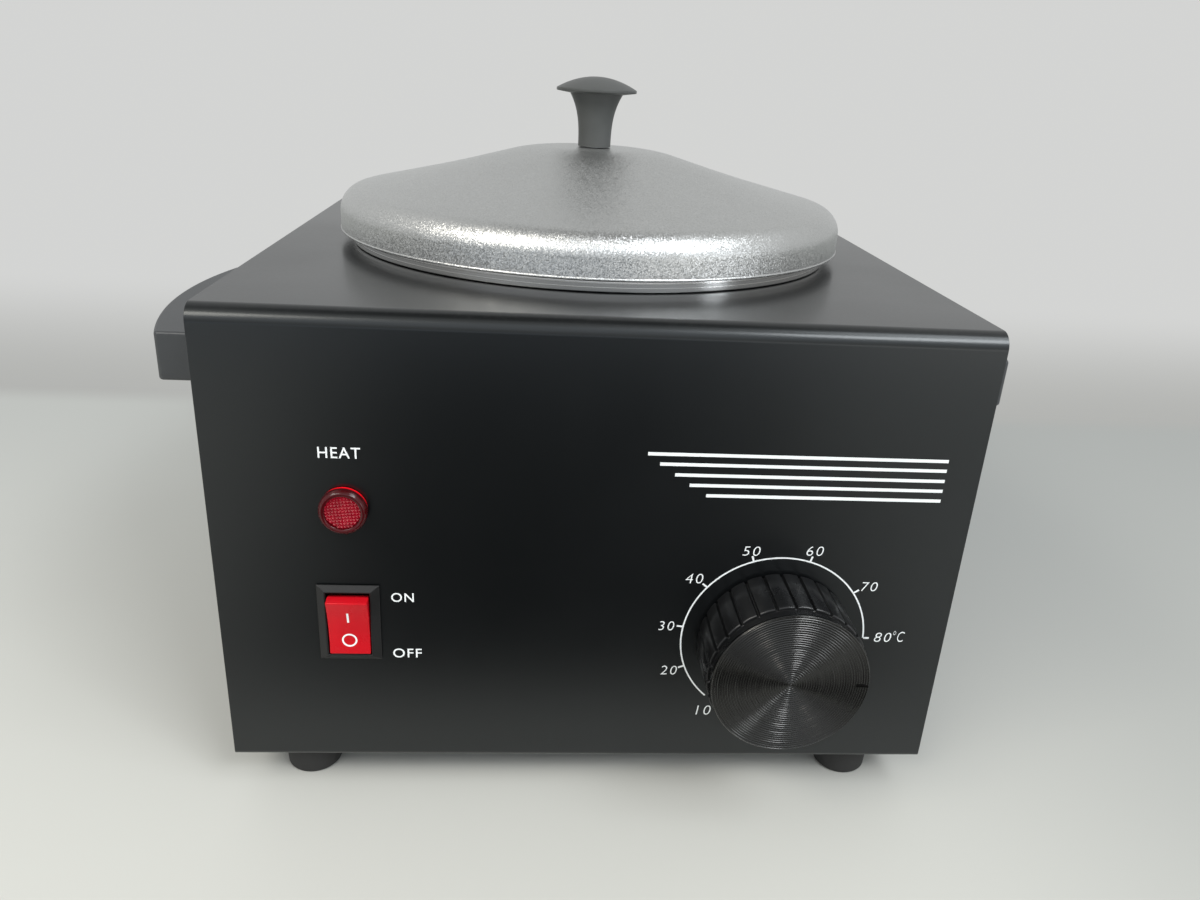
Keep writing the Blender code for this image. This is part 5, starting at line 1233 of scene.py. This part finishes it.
def addLamp(name, way, far, size, power, colour):
    data = bpy.data.lights.new(name, "AREA")
    data.shape = "RECTANGLE"
    data.size, data.size_y = size
    data.energy = power
    data.color = colour
    way = Vector(way).normalized()
    turn = way.to_track_quat("Z", "Y").to_matrix().to_4x4()
    placedIn(name, data).matrix_world = Matrix.Translation(lampAim + way * far) @ turn


wallPale = (0.655, 0.66, 0.652)  # the backdrop, as the camera sees it
roomSizes = dict(
    dim=(0.36, 0.37, 0.38), pale=(0.64, 0.65, 0.65), behind=(-0.5, 0.3), above=(0.2, 0.9, 0.3),
    band=(-0.1, 0.1), window=(1.03, 1.09, 1.16), windowFront=(-0.3, -0.6),
    windowFoot=(0.12, 0.34), windowHead=(0.84, 0.68), ceiling=(0.92, 0.97),
    ceilingTone=(0.12, 0.12, 0.12))


def addWorld(dim, pale, behind, above, band, window, windowFront, windowFoot, windowHead, ceiling,
             ceilingTone):
    # a pale room: lighter behind, above and along the horizon, with a window high in front,
    # and a ceiling that only gloss sees dark
    world = bpy.data.worlds.new("studio")
    world.use_nodes = True
    bpy.context.scene.world = world
    tree = world.node_tree
    y, z = splitOf(tree, addNode(tree, "TexCoord").outputs["Generated"])[1:]
    path = addNode(tree, "LightPath").outputs
    light = calculated(tree, "MAXIMUM", faded(tree, y, *behind), faded(tree, z, *above))
    light = calculated(tree, "MAXIMUM", faded(tree, z, *band), light)
    tone = blended(tree, light, dim, pale)
    rise = times(tree, faded(tree, z, *windowFoot), faded(tree, z, *windowHead))
    tone = blended(tree, times(tree, faded(tree, y, *windowFront), rise), tone, window)
    tone = blended(tree, times(tree, faded(tree, z, *ceiling), path["Is Glossy Ray"]), tone,
                   ceilingTone)
    seen = calculated(tree, "MAXIMUM", path["Is Camera Ray"], path["Is Transmission Ray"])
    fed(tree, tree.nodes["Background"], blended(tree, seen, tone, wallPale), 1)


floorSizes = dict(
    radius=2.5, roughness=0.5, near=(0.60, 0.60, 0.56), far=(0.46, 0.47, 0.45), nearEnd=-0.16,
    wallStart=0.198, wallEnd=0.226, paintedWallFootShade=(0.45, 0.455, 0.44), paleBy=0.52,
    paintedShadeRight=(0.04, 0.22, 0.62), paintedShadeTone=(0.30, 0.31, 0.30), sheen=(-0.38, -0.62),
    sheenRun=(0.12, 0.45), sheenLeft=(0.82, 0.90, 1), sheenRight=(2.1, 2.1, 2.05))


def addFloor(radius, roughness, near, far, nearEnd, wallStart, wallEnd, paintedWallFootShade, paleBy,
             paintedShadeRight, paintedShadeTone, sheen, sheenRun, sheenLeft, sheenRight):
    # the table, painted darker towards the back and on the right as painted shade; past a soft
    # line behind the object the camera sees the pale backdrop instead, painted darker at its foot
    # as painted shade, and far in front gloss sees a pale strip
    shape = bmesh.new()
    bmesh.ops.create_circle(shape, cap_ends=True, segments=96, radius=radius)
    floor = holderOf("tableTop", shape)
    material, tree, shader = newMaterial("tableTop")
    x, y = splitOf(tree, addNode(tree, "TexCoord").outputs["Object"])[:2]
    path = addNode(tree, "LightPath").outputs
    # painted shade: the table darker towards the back
    tone = blended(tree, faded(tree, y, nearEnd, wallStart), near, far)
    # painted shadow on the right of the table
    tone = blended(tree, faded(tree, x, *paintedShadeRight), tone, paintedShadeTone)
    fed(tree, shader, Base_Color=tone, Roughness=roughness)
    gloss = times(tree, path["Is Glossy Ray"], faded(tree, y, *sheen))
    strip = blended(tree, faded(tree, x, *sheenRun), sheenLeft, sheenRight)
    # painted shade: the backdrop darker at its foot
    wall = blended(tree, faded(tree, y, wallStart, paleBy), paintedWallFootShade, wallPale)
    glow = addNode(tree, "Emission", blended(tree, gloss, wall, strip))
    behind = times(tree, faded(tree, y, wallStart, wallEnd), path["Is Camera Ray"])
    mixed = addNode(tree, "MixShader", calculated(tree, "MAXIMUM", behind, gloss),
                    shader.outputs[0], glow.outputs[0])
    fed(tree, tree.nodes["Material Output"], mixed.outputs[0])
    floor.data.materials.append(material)


cardSizes = dict(
    middle=-0.004, half=0.128, spread=0.224, core=0.3, near=(-0.10, -0.155), far=(-0.80, -0.42),
    lift=0.003, width=1.1, depth=0.72, colour=(0.004, 0.004, 0.004), roughness=0.9)


def addCard(middle, half, spread, core, near, far, lift, width, depth, colour, roughness):
    # a soft-edged black card on the table in front, seen only in reflections:
    # a painted dark reflection in the front panel, standing in for the camera close in front
    shape = bmesh.new()
    bmesh.ops.create_grid(shape, x_segments=1, y_segments=1, size=0.5)
    scaled(shape, (width, depth, 1))
    card = holderOf("blackCard", moved(shape, (middle, near[0] - depth / 2, lift)))
    material, tree, shader = newMaterial("blackCard")
    x, y = splitOf(tree, addNode(tree, "TexCoord").outputs["Object"])[:2]
    ends = times(tree, faded(tree, y, *near), faded(tree, y, *far))
    aside = calculated(tree, "ABSOLUTE", calculated(tree, "SUBTRACT", x, middle))
    reach = calculated(tree, "MULTIPLY_ADD", y, -spread, half)
    share = faded(tree, calculated(tree, "DIVIDE", aside, reach), 1, core)
    fed(tree, shader, Base_Color=colour, Roughness=roughness, Alpha=times(tree, ends, share))
    card.data.materials.append(material)
    card.visible_camera = False
    card.visible_diffuse = False
    card.visible_shadow = False
    card.visible_transmission = False


addCamera(**cameraSizes)
for name, lamp in lampSizes.items():
    addLamp(name, **lamp)
addWorld(**roomSizes)
addFloor(**floorSizes)
addCard(**cardSizes)
print("camera, lamps and table ready")

bpy.context.scene.view_settings.view_transform = "Standard"
